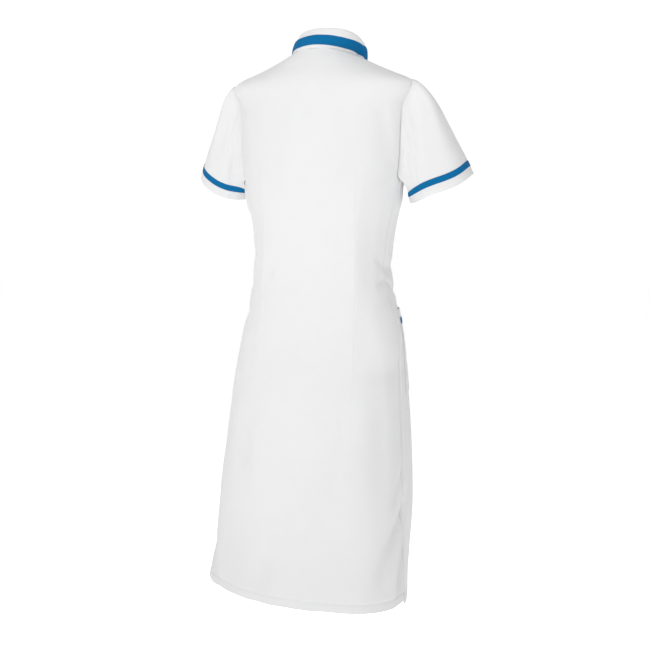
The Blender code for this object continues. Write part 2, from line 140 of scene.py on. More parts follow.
HEM_MARGIN = 0.016
BAND_WIDTH = 0.012
COLLAR_MARGIN = 0.0075
COLLAR_MARGIN_LESS = 0.0042
COLLAR_MARGIN_END = math.radians(65.0)
COLLAR_BAND_WIDTH = 0.019
COLLAR_WALL = 0.0014
FOLD_HALF_WIDTH = 0.0555
FOLD_HALF_DEPTH = 0.0490
FOLD_RADIUS = 0.0022
FOLD_ROUND = 0.0006
FOLD_TURN = math.radians(140.0)
FOLD_LEAN = 0.0060
LEAF_START = 0.0011
LEAF_ROLL = 0.0042
LEAF_ROLL_POWER = 0.6
LEAF_LESS = 0.0035
LEAF_LIFT = 0.0003
LEAF_BULGE = 0.0040
STAND_CLEARANCE = 0.0016
COLLAR_END = math.radians(174.0)
COLLAR_BAND_END = math.radians(163.1)
Rib = namedtuple("Rib", "angle fold_z edge_angle width")
COLLAR = [Rib(*row) for row in (
    (0.0, 0.0472, 0.0, 0.0385),
    (45.0, 0.0433, 44.0, 0.0365),
    (90.0, 0.0289, 88.0, 0.032),
    (120.0, 0.0130, 114.0, 0.038),
    (150.0, -0.0160, 137.0, 0.050),
    (174.0, -0.0330, 155.0, 0.066),
)]

POCKET_OUTER = math.radians(97.0)
POCKET_INNER = math.radians(146.0)
POCKET_MOUTH_Z = -0.488
POCKET_BOTTOM_Z = -0.653
POCKET_HEIGHT = POCKET_MOUTH_Z - POCKET_BOTTOM_Z
POCKET_WIDTH = 0.135
POCKET_OPEN = 0.0045
POCKET_OPEN_POWER = 1.5
POCKET_LIFT = 0.0009
POCKET_SWELL = 0.0010
POCKET_SWELL_REACH = 0.009

# Buttons: a turned profile as (radius, height), and the path of a thread as (share of its way, height)
BUTTON_THICKNESS = 0.0026
BUTTON_SHANK = 0.0008
BUTTON_TURN = 0.35
BUTTON_SIDES = 48
BUTTON_PROFILE = (
    (0.0, 0.0004), (0.0030, 0.0004), (0.0045, 0.0006), (0.0053, 0.0011), (0.0060, 0.0013), (0.0067, 0.0011),
    (0.0073, 0.0006), (0.0075, 0.0), (0.0073, -0.0010), (0.0068, -0.0013), (0.0, -0.0013),
)
FIRST_BUTTON_Z = -0.085
LAST_BUTTON_Z = -0.785
BUTTON_COUNT = 8
HOLE_PLACES = ((0.0016, 0.0016), (-0.0016, 0.0016), (-0.0016, -0.0016), (0.0016, -0.0016))
HOLE_RADIUS = 0.0008
HOLE_SIDES = 20
HOLE_DEPTH = 0.01
CROSSING_PATH = (
    (0.0, -0.0020), (0.0, 0.0), (0.16, 0.00055), (0.5, 0.00070), (0.84, 0.00055), (1.0, 0.0), (1.0, -0.0020),
)
CROSSING_RADIUS = 0.00017
CROSSING_GAP = 0.00028
CROSSING_SIDES = 8
OFF_CROSSING = (0.31, 0.27, 0.91)

# Weave: directions and periods of its two sets of lines, and how strong its relief is
Weave = namedtuple("Weave", "direction period cross cross_period strength")
TWILL = Weave("DIAGONAL", 0.0006, "Y", 0.0004, 0.35)
RIBS = Weave("X", 0.0009, "Y", 0.0004, 0.45)

# Colours
WHITE_DARK = (0.715, 0.715, 0.719, 1.0)
WHITE_LIGHT = (0.745, 0.745, 0.748, 1.0)
THREAD_WHITE = (0.80, 0.80, 0.805, 1.0)
BLUE_DARK = (0.0, 0.115, 0.290, 1.0)
BLUE_LIGHT = (0.0, 0.135, 0.330, 1.0)
BUTTON_DARK = (0.78, 0.78, 0.76, 1.0)
BUTTON_LIGHT = (0.84, 0.84, 0.83, 1.0)
FLOOR_DARK = (0.86, 0.86, 0.86, 1.0)
FLOOR_LIGHT = (0.90, 0.90, 0.90, 1.0)
FLOOR_GLOW = 0.82

# Surroundings: bright round the horizon, dim overhead, and bright higher up on the wearer's right. Each edge
# is given by where it starts and ends, as a share of the way up or towards that side.
HORIZON = (1.05, 1.05, 1.05, 1.0)
OVERHEAD = (0.06, 0.06, 0.062, 1.0)
OVERHEAD_EDGE = (0.21, 0.30)
SIDE_TOWARDS = (-1.0, 0.0, 0.0)
SIDE_EDGE = (0.55, 0.95)

# Lights: place, aim, size, power in watts and spread in degrees
Light = namedtuple("Light", "place aim size power spread")
MIDDLE = (0.0, 0.0, -0.45)
LIGHTS = {
    "key": Light((0.0, 1.30, 1.90), MIDDLE, 2.2, 38.0, 180.0),
    "fill": Light((0.3, 2.30, -0.10), MIDDLE, 2.2, 11.0, 180.0),
    "accent": Light((0.40, 2.25, -0.25), (0.08, 0.12, -0.62), 0.5, 0.062, 18.0),
    "front": Light((1.2, -2.1, 0.90), MIDDLE, 2.2, 24.0, 180.0),
}

# What each sheet was cut to: width and length, area, how it is held and on what it rests
Cut = namedtuple("Cut", "flat area held rests_on")

# What the looks add: cloth as thin as it is, turned edges, grooves at seams and the ribs of the darts
CLOTH = 0.0006
BAND = 0.0005
COLLAR_CLOTH = 0.0013
LAYER = 0.0009
POCKET_LAYER = LAYER * 0.7
EDGE_THIN = 0.10
CLOTH_ROUND = 0.0005
LEAF_ROUND = 0.0024
LEAF_END_WIDENING = 1.6
STAND_ROUND = 0.0009
BAND_CLEARANCE = 0.0001
BAND_CURVE = 0.00025
BAND_CURVE_REACH = 0.003
HEM_TURN = 0.0170
HEM_LINE = 0.0160
HEM_GROOVE = 0.0009
HEM_GROOVE_WIDTH = 0.0018
GROOVE_DEPTH = 0.0012
GROOVE_WIDTH = 0.0021
SEWN_FADE = 12
SEAM_Z = (-0.045, -0.105, -0.135, -0.235, -0.280, -0.400, -0.600, -1.045)
SEAM_STRENGTHS = (0.0, 0.1, 1.6, 2.6, 2.0, 2.6, 3.2, 3.4)
PUCKERS = ((1.0, 0.0031, 0.0), (0.8, 0.0047, 1.3), (0.7, 0.0083, 0.4))
PUCKER_HEIGHT = 0.00011
PUCKER_START = 0.0020
PUCKER_END = 0.0100
GIRTH_RADIUS = 0.165

# Rows and columns of the shells, and the rows of the solid fronts. The steps are distances at which rows or
# columns lie close together beside edges, seams and darts. In pairs, the second number is how many layers
# inward the cloth lies that is turned in there. The two rows inside an armhole are given by how far back and
# how far inward they lie, and the steps at the collar's ends by degrees.
NECK_ROWS = 14
ARMHOLE_ROWS = 49
BODY_ROWS = 145
SLIT_ROWS = 17
SOLID_ROWS = (5, 13, 19)
ARMHOLE_SAMPLES = 721
BACK_COLUMNS = (20, 46, 20)
FRONT_COLUMNS = (22, 26)
EDGE_STEPS = (0.0, 0.0005, 0.0012, 0.0022, 0.0040, 0.0070, 0.0110)
DART_STEPS = (0.0, 0.0006, 0.0013, 0.0023, 0.0040, 0.0070, 0.0120)
TURN_STEPS = ((-0.00015, 0.35), (0.0, 0.95), (0.0015, 1.0), (0.0050, 1.0), (0.0090, 1.0))
FACING_STEPS = (
    (-0.00015, 0.35), (0.0, 0.95), (0.0020, 1.0), (0.0100, 1.0), (0.0220, 1.0), (0.0340, 1.0),
)
HEM_STEPS = (
    0.0260, 0.0215, 0.0190, 0.0175, 0.0160, 0.0145, 0.0130, 0.0110, 0.0080, 0.0045, 0.0020, 0.0008, 0.0,
)
HEM_TURN_STEPS = ((-0.0003, 0.7), (0.0, 1.9), (0.0020, 2.0), (0.0080, 2.0), (0.0180, 2.0))
BAND_STEPS = (0.0, 0.0003, 0.0008, 0.0020, 0.0045, 0.0075, 0.0100, 0.0112, 0.0117, 0.0120)
SLEEVE_COLUMNS = 144
SLEEVE_BASE_ROWS = 81
SLEEVE_ROWS = 38
SLEEVE_INSIDE = ((0.0060, 0.0010), (0.0020, 0.0005))
SLEEVE_INSET = 0.0006
SLEEVE_TOP_STEPS = (-0.0060, -0.0030, -0.0010, 0.0, 0.0006, 0.0014, 0.0026, 0.0045, 0.0075, 0.0110)
SLEEVE_LOW = 0.0310
SLEEVE_LOW_STEPS = (
    0.0286, 0.0278, 0.0260, 0.0230, 0.0200, 0.0175, 0.0162, 0.0152, 0.0120, 0.0085, 0.0055, 0.0030, 0.0014,
    0.0006, 0.0,
)
SLEEVE_TURN_STEPS = ((-0.0002, 0.5), (0.0, 1.3), (0.0020, 1.4), (0.0080, 1.4), (0.0160, 1.4), (0.0260, 1.4))
SLEEVE_HEM_ROUND = 0.0004
SLEEVE_TURNS = np.linspace(0.0, FULL_TURN, SLEEVE_COLUMNS, endpoint=False)
COLLAR_COLUMNS = 190
COLLAR_END_SPAN = 0.045
COLLAR_END_STEPS = (0.0, 0.15, 0.4, 0.8, 1.5)
LEAF_FOLD_ROWS = 15
LEAF_ROWS = 61
LEAF_SAMPLES = 226
LEAF_TOP_STEPS = (0.0, 0.0007, 0.0014, 0.0022, 0.0031, 0.0040, 0.0048, 0.0057, 0.0066, 0.0078, 0.0090)
LEAF_LOW_STEPS = (
    0.0275, 0.0268, 0.0262, 0.0235, 0.0200, 0.0165, 0.0130, 0.0100, 0.0079, 0.0073, 0.0066, 0.0050, 0.0035,
    0.0022, 0.0012, 0.0006, 0.0002, 0.0,
)
STAND_SHARES = (0.0, 0.02, 0.05, *np.linspace(0.1, 0.95, 10), 0.98, 1.0)
COLLAR_BAND_STEPS = (
    0.0, 0.0004, 0.0010, 0.0030, 0.0065, 0.0100, 0.0130, 0.0160, 0.0180, 0.0186, 0.0190,
)
POCKET_COLUMNS = 34
POCKET_ROWS = 30
POCKET_SIDE_STEPS = (0.0, 0.0004, 0.0010, 0.0020, 0.0035, 0.0060, 0.0090)
POCKET_TURN_STEPS = ((0.027, 1.0), (0.018, 1.0), (0.008, 1.0), (0.002, 1.0), (0.0, 0.95), (-0.00015, 0.35))
POCKET_TOP_STEPS = (
    0.0, 0.0005, 0.0015, 0.0035, 0.0070, 0.0110, 0.0150, 0.0160, 0.0168, 0.0200, 0.0240, 0.0276,
)
POCKET_MIDDLE = 0.0310
POCKET_LOW_STEPS = (0.0090, 0.0060, 0.0035, 0.0020, 0.0010, 0.0004, 0.0)

# Darts of the back and of the fronts, on the wearer's right and left: angles from the centre back at some
# heights, and how strong they are there
DART_RIDGE = 0.0024
DART_REACH = 0.0200
DART_GROOVE = 0.0007
DART_GROOVE_WIDTH = 0.0011
DART_GROOVE_GROWTH = 4
DART_Z = (-0.150, -0.215, -0.300, -0.350, -0.425, -0.500, -0.600, -0.650, -0.700)
BACK_DART_STRENGTHS = (0.0, 0.1, 0.7, 1.0, 1.0, 0.8, 0.4, 0.05, 0.0)
FRONT_DART_STRENGTHS = (0.0, 0.0, 0.2, 0.8, 1.0, 0.6, 0.0, 0.0, 0.0)
BACK_DARTS = (
    (-48.5, -48.5, -49.5, -50.2, -50.2, -48.0, -45.5, -44.3, -44.3),
    (46.0, 46.0, 46.4, 47.0, 48.8, 44.6, 41.0, 40.0, 40.0),
)
FRONT_DARTS = (
    (-128, -128, -129, -130, -130, -130, -131, -131, -131),
    (128, 128, 129, 130, 130, 130, 131, 131, 131),
)

# The planes to the side of the right back dart: how far the cloth stands out, in millimetres, at heights and
# at angles 15 degrees apart from PLANE_START on
PLANE_START = -20.0
PLANE_STEP = -15.0
PLANES = (
    (-0.150, (0.0, 0.0, 0.0, 0.0, 0.0, 0.0, 0.0)),
    (-0.250, (0.0, 0.0, 1.0, 0.0, -2.0, -2.0, 0.0)),
    (-0.330, (0.0, 0.0, 2.5, -1.0, -5.0, -5.0, 0.0)),
    (-0.400, (0.0, 0.0, 3.5, -2.5, -8.0, -7.0, -0.5)),
    (-0.430, (0.0, 0.0, 3.0, -2.5, -8.0, -7.0, 0.0)),
    (-0.490, (0.0, 0.0, 0.5, 3.0, 2.0, -1.5, 0.0)),
    (-0.520, (0.0, 0.0, 0.0, 4.0, 3.5, -1.0, 0.0)),
    (-0.580, (0.0, 0.0, 1.0, 3.0, -1.0, -3.0, 0.0)),
    (-0.660, (0.0, 0.0, 2.5, -1.0, -6.0, -6.0, 0.0)),
    (-0.760, (0.0, 1.5, 2.0, -2.0, -7.0, -6.0, 0.0)),
    (-0.860, (1.0, 2.0, 1.0, -2.5, -6.0, -5.0, 0.0)),
    (-0.960, (1.0, 1.5, 0.0, -2.0, -4.0, -3.0, 0.0)),
    (-1.045, (0.0, 0.0, 0.0, 0.0, 0.0, 0.0, 0.0)),
)

# Slight waves of the cloth: their number, slope and rise, the ripples at the hem, and those of the sleeves
NECK_FADE = 0.03
BODY_SEED = 11
BODY_WAVES = 34
WAVE_RISE = 16.0
WAVE_SLOPE = 0.0085 / 2.4
HEM_RIPPLES = 10
HEM_RIPPLE = 0.00016
HEM_RIPPLE_REACH = 0.07
SLEEVE_SEEDS = {"right": 31, "left": 47}
SLEEVE_WAVES = 12
SLEEVE_WAVE_RISE = 3.0
SLEEVE_WAVE = 0.00030
GATHERS = 0.00022
GATHERS_START = 0.003
GATHERS_END = 0.016
SLEEVE_FADE = 0.012
HEM_WAVE = 0.0015
HEM_WAVES = {"right": (4, 215.0), "left": (3, 250.0)}
COLLAR_WAVES = ((0.00050, 3.0, 0.8), (0.00035, 7.0, 2.1), (0.00025, 11.0, 0.0))

# Soft creases of the body: where each starts and ends (angle, height), how far its middle bows sideways, its
# half width, its depth (negative is a trough) and how strong it is at its start and at its end
CREASE_PARTS = np.linspace(0.0, 1.0, 33)
CREASE_REACH = 3.2
CREASE_UPPER = 1.25
CREASE_LOWER = 0.85
CREASE_BEYOND = 1.5
CREASE_HEAD = 0.35
CREASE_TAIL = 0.45
Crease = namedtuple("Crease", "angle z end_angle end_z bow width depth head tail")
CREASES = [Crease(*row) for row in (
    (-84, -0.430, -66, -0.444, 0.004, 0.0070, -0.0034, 0.6, 0.0),
    (-90, -0.410, -60, -0.383, 0.003, 0.0100, -0.0034, 0.9, 0.0),
    (-90, -0.463, -58, -0.505, 0.006, 0.0120, -0.0034, 0.7, 0.0),
    (-84, -0.565, -56, -0.560, 0.003, 0.0190, 0.0024, 0.2, 0.0),
    (-86, -0.598, -50, -0.620, 0.006, 0.0200, -0.0044, 0.4, 0.0),
    (-46, -0.655, -24, -0.860, 0.008, 0.0190, -0.0054, 0.2, 0.1),
    (-66, -0.640, -58, -0.860, -0.006, 0.0240, -0.0037, 0.0, 0.0),
    (-85, -0.862, -60, -1.030, 0.010, 0.0140, -0.0088, 0.6, 0.4),
    (-84, -0.905, -70, -1.043, 0.006, 0.0085, 0.0044, 0.3, 0.2),
    (-84, -0.800, -71, -0.872, 0.004, 0.0085, -0.0042, 0.9, 0.0),
    (-84, -0.880, -70, -0.985, 0.006, 0.0080, -0.0046, 0.9, 0.0),
    (-85, -0.940, -77, -1.043, 0.004, 0.0065, -0.0062, 0.4, 0.2),
    (-86, -0.224, -60, -0.264, 0.006, 0.0100, -0.0037, 0.9, 0.0),
    (-84, -0.207, -57, -0.186, -0.004, 0.0130, -0.0024, 0.6, 0.0),
    (-68, -0.085, -73, -0.205, 0.004, 0.0130, -0.0031, 0.0, 0.3),
    (-24, -0.070, -26, -0.230, 0.004, 0.0220, -0.0017, 0.0, 0.0),
    (18, -0.090, 14, -0.270, -0.006, 0.0220, 0.0015, 0.0, 0.0),
    (34, -0.400, 46, -0.455, 0.004, 0.0130, -0.0027, 0.0, 0.3),
    (90, -0.428, 64, -0.446, 0.004, 0.0065, -0.0048, 1.0, 0.0),
    (90, -0.402, 62, -0.376, -0.004, 0.0110, -0.0031, 0.8, 0.0),
    (90, -0.468, 58, -0.520, 0.006, 0.0130, -0.0032, 0.7, 0.0),
    (86, -0.224, 58, -0.272, 0.006, 0.0110, -0.0037, 0.9, 0.0),
    (82, -0.205, 60, -0.176, -0.004, 0.0130, -0.0024, 0.5, 0.0),
    (79, -0.268, 80, -0.312, 0.0, 0.0210, 0.0048, 1.0, 0.0),
    (44, -0.655, 30, -0.840, 0.008, 0.0190, -0.0048, 0.2, 0.0),
    (62, -0.620, 66, -0.860, 0.008, 0.0230, -0.0034, 0.0, 0.0),
    (86, -0.870, 58, -1.030, 0.010, 0.0160, -0.0075, 0.5, 0.3),
    (85, -0.925, 74, -1.043, 0.005, 0.0080, 0.0044, 0.3, 0.8),
    (14, -0.930, 22, -1.043, 0.006, 0.0210, -0.0044, 0.0, 0.5),
    (-10, -0.800, -14, -1.043, 0.004, 0.0260, 0.0031, 0.0, 0.4),
    (-88, -0.432, -116, -0.456, 0.004, 0.0060, -0.0048, 1.0, 0.0),
    (-90, -0.405, -122, -0.392, 0.003, 0.0100, -0.0034, 0.8, 0.0),
    (88, -0.430, 114, -0.448, 0.004, 0.0060, -0.0044, 1.0, 0.0),
    (90, -0.408, 124, -0.398, -0.003, 0.0110, -0.0031, 0.8, 0.0),
    (-100, -0.232, -136, -0.212, 0.005, 0.0120, -0.0041, 0.9, 0.0),
    (-98, -0.246, -132, -0.262, 0.005, 0.0110, -0.0031, 0.8, 0.0),
    (100, -0.230, 134, -0.206, 0.005, 0.0130, -0.0037, 0.9, 0.0),
    (98, -0.248, 128, -0.270, -0.004, 0.0110, -0.0031, 0.8, 0.0),
    (-176, -0.402, -146, -0.416, 0.003, 0.0075, -0.0024, 0.5, 0.0),
    (-176, -0.440, -150, -0.428, 0.003, 0.0080, -0.0020, 0.4, 0.0),
    (178, -0.396, 148, -0.386, 0.003, 0.0080, -0.0024, 0.4, 0.0),
    (177, -0.446, 152, -0.462, 0.003, 0.0080, -0.0020, 0.4, 0.0),
    (-160, -0.660, -154, -1.043, 0.010, 0.0220, -0.0071, 0.0, 0.6),
    (160, -0.700, 168, -1.043, 0.008, 0.0220, -0.0061, 0.0, 0.6),
    (124, -0.680, 128, -1.043, 0.008, 0.0200, -0.0068, 0.0, 0.6),
    (-128, -0.700, -124, -1.043, 0.008, 0.0200, -0.0058, 0.0, 0.6),
    (-88, -0.480, -104, -0.470, 0.002, 0.0080, -0.0027, 0.6, 0.0),
    (-150, -0.052, -138, -0.110, 0.004, 0.0140, -0.0031, 0.3, 0.0),
    (150, -0.050, 136, -0.116, 0.004, 0.0140, -0.0031, 0.3, 0.0),
)]

# Soft creases of the sleeves: angle round the sleeve from its top over the front, and share of its length
SLEEVE_GIRTH_RADIUS = 0.062
SLEEVE_LENGTH = 0.160
SLEEVE_CREASES = {
    "right": [Crease(*row) for row in (
        (286, 0.04, 262, 0.60, 0.004, 0.0110, -0.0041, 0.8, 0.0),
        (306, 0.06, 292, 0.66, 0.004, 0.0150, -0.0030, 0.5, 0.0),
        (252, 0.10, 236, 0.90, 0.003, 0.0090, -0.0035, 0.8, 0.2),
        (334, 0.22, 342, 0.84, 0.004, 0.0180, -0.0019, 0.0, 0.0),
        (74, 0.05, 96, 0.58, 0.004, 0.0120, -0.0035, 0.8, 0.0),
        (52, 0.08, 62, 0.64, 0.004, 0.0150, -0.0027, 0.4, 0.0),
        (112, 0.10, 128, 0.88, 0.003, 0.0090, -0.0032, 0.8, 0.2),
        (20, 0.28, 12, 0.86, 0.004, 0.0170, -0.0016, 0.0, 0.0),
    )],
    "left": [Crease(*row) for row in (
        (282, 0.05, 258, 0.56, 0.004, 0.0120, -0.0038, 0.8, 0.0),
        (302, 0.04, 286, 0.72, 0.005, 0.0150, -0.0030, 0.5, 0.0),
        (250, 0.10, 238, 0.86, 0.003, 0.0090, -0.0032, 0.8, 0.2),
        (326, 0.14, 332, 0.80, 0.004, 0.0170, -0.0024, 0.0, 0.0),
        (78, 0.05, 100, 0.60, 0.004, 0.0120, -0.0038, 0.8, 0.0),
        (56, 0.06, 66, 0.70, 0.004, 0.0150, -0.0027, 0.4, 0.0),
        (110, 0.10, 124, 0.90, 0.003, 0.0090, -0.0032, 0.8, 0.2),
        (24, 0.24, 16, 0.84, 0.004, 0.0170, -0.0016, 0.0, 0.0),
    )],
}

# Thread: a stitch's profile is its share of the way, its lift and its size, both as shares of its radius
STITCH_PITCH = 0.0028
STITCH_LENGTH = 0.0021
STITCH_RADIUS = 0.00020
STITCH_SIDES = 6
STITCH_PROFILE = ((0, -0.9, 0.5), (0.14, 0.15, 0.95), (0.5, 0.45, 1.0), (0.86, 0.15, 0.95), (1, -0.9, 0.5))
HOLE_STITCHES = 40
HOLE_HALF_LENGTH = 0.0090
HOLE_SIDE_ANGLE = 0.00055 / 0.13
HOLE_STITCH_HALF = 0.0007
TACK_STITCHES = 12
TACK_HALF_HEIGHT = 0.0011
TACK_RADIUS = 0.00022
TACK_WIDTH = 0.008
TACK_INSET = 0.004
HEM_BACK_POINTS = 400
HEM_FRONT_POINTS = 300
HEM_STITCH_Z = HEM_Z + HEM_TURN - 0.0015
SLIT_STITCH_INSET = 0.0075
SLIT_POINTS = 60
FACING_POINTS = 500
FACING_STITCH_INSETS = (0.006, 0.032)
FACING_STITCH_Z = (HEM_Z + 0.002, -0.012)
LEAF_STITCH_INSET = 0.0022
COLLAR_BAND_STITCH_INSET = 0.0013
SLEEVE_BAND_STITCH_INSET = 0.0012
POCKET_STITCH_INSET = 0.0022
POCKET_STITCH_TOP = 0.0008
POCKET_SIDE_POINTS = 90
POCKET_LOW_POINTS = 80
POCKET_BAND_STITCH_INSET = 0.0013
POCKET_BAND_STITCH_LIFT = 0.00022
POCKET_BAND_SHARES = (0.004, 0.996)
POCKET_BAND_POINTS = 120


def smooth_curve(places, values, at):
    """Values on a smooth curve through rising places."""
    slopes = np.gradient(values, places)
    index = np.clip(np.searchsorted(places, at) - 1, 0, len(places) - 2)
    step = places[index + 1] - places[index]
    part = np.clip((at - places[index]) / step, 0.0, 1.0)
    rest = 1 - part
    start = values[index] * (1 + 2 * part) * rest ** 2 + slopes[index] * step * part * rest ** 2
    end = values[index + 1] * (3 - 2 * part) * part ** 2 + slopes[index + 1] * step * part ** 2 * (part - 1)
    return start + end


def column_curve(rows, places, column, at):
    """A column of a table as a smooth curve through the rows' places."""
    order = np.argsort(places)
    values = np.array([getattr(row, column) for row in rows])
    return smooth_curve(places[order], values[order], at)


def body_value(column, level):
    return column_curve(BODY, np.array([row.z for row in BODY]), column, np.asarray(level, float))


def rib_value(column, angle):
    places = np.radians([row.angle for row in COLLAR])
    return column_curve(COLLAR, places, column, np.abs(np.asarray(angle, float)))


def ease(part):
    part = np.clip(part, 0.0, 1.0)
    return part * part * (3.0 - 2.0 * part)


def wrapped(angle):
    return (angle + math.pi) % FULL_TURN - math.pi


def unit(vectors):
    return vectors / np.linalg.norm(vectors, axis=-1, keepdims=True)


def fold_depth(angle, level):
    """How far the large folds stand out from the body's sections."""
    total = 0.0
    for fold in FOLDS:
        down = np.clip((fold.top_z - level) / (fold.top_z - HEM_Z), 0.0, 1.0)
        middle = np.radians(fold.top_angle + (fold.hem_angle - fold.top_angle) * down)
        across = (wrapped(angle) - middle) / math.radians(fold.spread)
        total = total + fold.depth * ease(down) * np.exp(-across * across)
    return total


def neck_rise(angle):
    cosine = np.cos(angle)
    back = NECK_BACK_Z * np.maximum(cosine, 0.0) ** 2
    return back + NECK_FRONT_Z * np.maximum(-cosine, 0.0) ** NECK_FRONT_POWER


def body_point(angle, level):
    """Point of the body's middle surface; a negative angle is on the wearer's right."""
    angle = np.asarray(angle, float)
    level = np.asarray(level, float)
    cosine = np.cos(angle)
    sine = np.sin(angle)
    half_width = body_value("half_width", level)
    depth = np.where(cosine >= 0.0, body_value("back", level), body_value("front", level))
    square = body_value("square", level)
    radius = (np.abs(sine / half_width) ** square + np.abs(cosine / depth) ** square) ** (-1.0 / square)
    radius = radius + fold_depth(angle, level)
    x = radius * sine + NECK_SHIFT * ease(1.0 - level / TIP_Z)
    z = level + neck_rise(angle) * ease(1.0 - level / NECK_BLEND_Z)
    return np.stack([x, body_value("line_y", level) + radius * cosine, z], axis=-1)


def round_step(angle, level):
    return body_point(angle + SMALL_STEP, level) - body_point(angle - SMALL_STEP, level)


def body_normal(angle, level):
    """Outward direction of the body's surface."""
    upward = body_point(angle, level + SMALL_STEP) - body_point(angle, level - SMALL_STEP)
    return unit(np.cross(upward, round_step(angle, level)))


def lifted_point(angle, level, lift):
    return body_point(angle, level) + body_normal(angle, level) * np.asarray(lift, float)[..., None]


def arc_rate(angle, level):
    """Metres along the body for each radian round it."""
    return np.linalg.norm(round_step(angle, level), axis=-1) / (2.0 * SMALL_STEP)


def armhole_level(turn):
    place = (1.0 + np.cos(turn)) / 2 + ARMHOLE_SKEW * np.sin(turn) ** 2
    return UNDERARM_Z + (TIP_Z - UNDERARM_Z) * place


def armhole_share(level):
    turn = np.linspace(math.pi, 0.0, ARMHOLE_SAMPLES)
    return np.interp(level, armhole_level(turn), np.sin(turn), left=0.0, right=0.0)


def seam_angle(level):
    share = np.clip((level - UNDERARM_Z) / (TIP_Z - UNDERARM_Z), 0, 1)
    return SIDE_SEAM + (SHOULDER_SEAM - SIDE_SEAM) * share


def slit_share(level):
    return np.clip((SLIT_TOP_Z - level) / (SLIT_TOP_Z - HEM_Z), 0.0, 1.0)


def seam_strength(level):
    """How strongly the cloth is drawn in at its side edges."""
    return np.interp(level, SEAM_Z[::-1], SEAM_STRENGTHS[::-1])


def edge_gap(angle, level, slit_gap):
    """Angle by which a panel's edge lies back from the seam's line."""
    gap = SEAM_GAP / 2 * seam_strength(level) + slit_gap * slit_share(level)
    return gap / arc_rate(angle, level)


def back_edge(level):
    angle = seam_angle(level) - ARMHOLE_BACK * armhole_share(level)
    return angle - edge_gap(angle, level, SLIT_BACK_GAP)


def front_edge(level):
    angle = seam_angle(level) + ARMHOLE_FRONT * armhole_share(level)
    return angle + edge_gap(angle, level, SLIT_FRONT_GAP)


def front_inner(level):
    return math.pi + OVERLAP / body_value("front", level)


def dart_angle(angles, level):
    return np.radians(np.interp(level, DART_Z[::-1], angles[::-1]))


def crease_line(crease, radius, length):
    """A crease's middle angle, the points of its bowed line and the directions there."""
    middle = math.radians((crease.angle + crease.end_angle) / 2)
    half = math.radians(crease.end_angle - crease.angle) / 2 * radius
    start = np.array([-half, crease.z * length])
    run = np.array([half, crease.end_z * length]) - start
    aside = unit(np.array([-run[1], run[0]]))
    bow = crease.bow * 4 * CREASE_PARTS * (1 - CREASE_PARTS)
    line = start + run * CREASE_PARTS[:, None] + aside * bow[:, None]
    return middle, line, unit(np.gradient(line, axis=0))


def crease_strength(crease):
    """How strong a crease is along its line."""
    growing = crease.head + (1 - crease.head) * ease(CREASE_PARTS / CREASE_HEAD)
    fading = 1 - (1 - crease.tail) * ease((CREASE_PARTS - 1 + CREASE_TAIL) / CREASE_TAIL)
    return growing * fading


def crease_lift(creases, angle, down, radius, length):
    """Sum of soft creases at places given by an angle and a height or share."""
    angle, down = np.broadcast_arrays(angle, down)
    total = np.zeros(angle.shape)
    for crease in creases:
        middle, line, tangent = crease_line(crease, radius, length)
        place = np.stack([wrapped(angle - middle) * radius, down * length], axis=-1)
        reach = CREASE_REACH * crease.width
        near = ((place > line.min(axis=0) - reach) & (place < line.max(axis=0) + reach)).all(axis=-1)
        if not near.any():
            continue
        gap = place[near][:, None] - line
        nearest = (gap ** 2).sum(axis=-1).argmin(axis=1)
        gap = gap[np.arange(len(nearest)), nearest]
        run = tangent[nearest]
        across = gap[:, 1] * run[:, 0] - gap[:, 0] * run[:, 1]
        beyond = gap[:, 0] * run[:, 0] + gap[:, 1] * run[:, 1]
        beyond = np.where((nearest == 0) | (nearest == len(line) - 1), beyond, 0.0)
        width = crease.width * np.where(across > 0, CREASE_UPPER, CREASE_LOWER)
        shape = np.exp(-(across / width) ** 2 - (beyond / (CREASE_BEYOND * width)) ** 2)
        total[near] += crease.depth * crease_strength(crease)[nearest] * shape
    return total


def uneven(angle, level):
    """The cloth's slight waves, which close on themselves round the body, and the ripples at its hem."""
    picked = np.random.default_rng(BODY_SEED)
    total = 0.0
    for _ in range(BODY_WAVES):
        times = picked.integers(1, 13)
        rise = picked.normal(0.0, WAVE_RISE)
        phase = picked.uniform(0.0, FULL_TURN)
        steepness = math.hypot(times / GIRTH_RADIUS, rise)
        total = total + WAVE_SLOPE / steepness * np.sin(times * angle + rise * level + phase)
    fading = np.exp((HEM_Z - level) / HEM_RIPPLE_REACH)
    for _ in range(HEM_RIPPLES):
        times = picked.integers(9, 24)
        phase = picked.uniform(0.0, FULL_TURN)
        total = total + HEM_RIPPLE * np.sin(times * angle + phase) * fading
    return total


def dart_lift(angle, level, darts, strengths):
    """The rib and the fine groove of each dart."""
    total = 0.0
    strength = np.interp(level, DART_Z[::-1], strengths[::-1])
    for angles in darts:
        away = np.abs(wrapped(angle - dart_angle(angles, level))) * GIRTH_RADIUS
        groove = ease(strength * DART_GROOVE_GROWTH) * np.exp(-(away / DART_GROOVE_WIDTH) ** 2)
        total = total + DART_RIDGE * strength * np.exp(-away / DART_REACH) - DART_GROOVE * groove
    return total


def seam_lift(distance, along, strength):
    """Cloth drawn in at a seam, with faint puckers beside it."""
    groove = -GROOVE_DEPTH * seam_strength(along) * np.exp(-(distance / GROOVE_WIDTH) ** 2)
    ripple = sum(share * np.sin(along / length + phase) for share, length, phase in PUCKERS)
    fading = np.exp(-distance / PUCKER_END) * (1 - np.exp(-distance / PUCKER_START))
    return (groove + PUCKER_HEIGHT * ripple * fading) * strength


def tuck(angle, level):
    """How far the cloth beneath the other front's edge lies in, from 0 to 1."""
    from_centre = (math.pi - np.abs(angle)) * body_value("front", level)
    return ease((TUCK_START - from_centre) / (TUCK_START - TUCK_END))


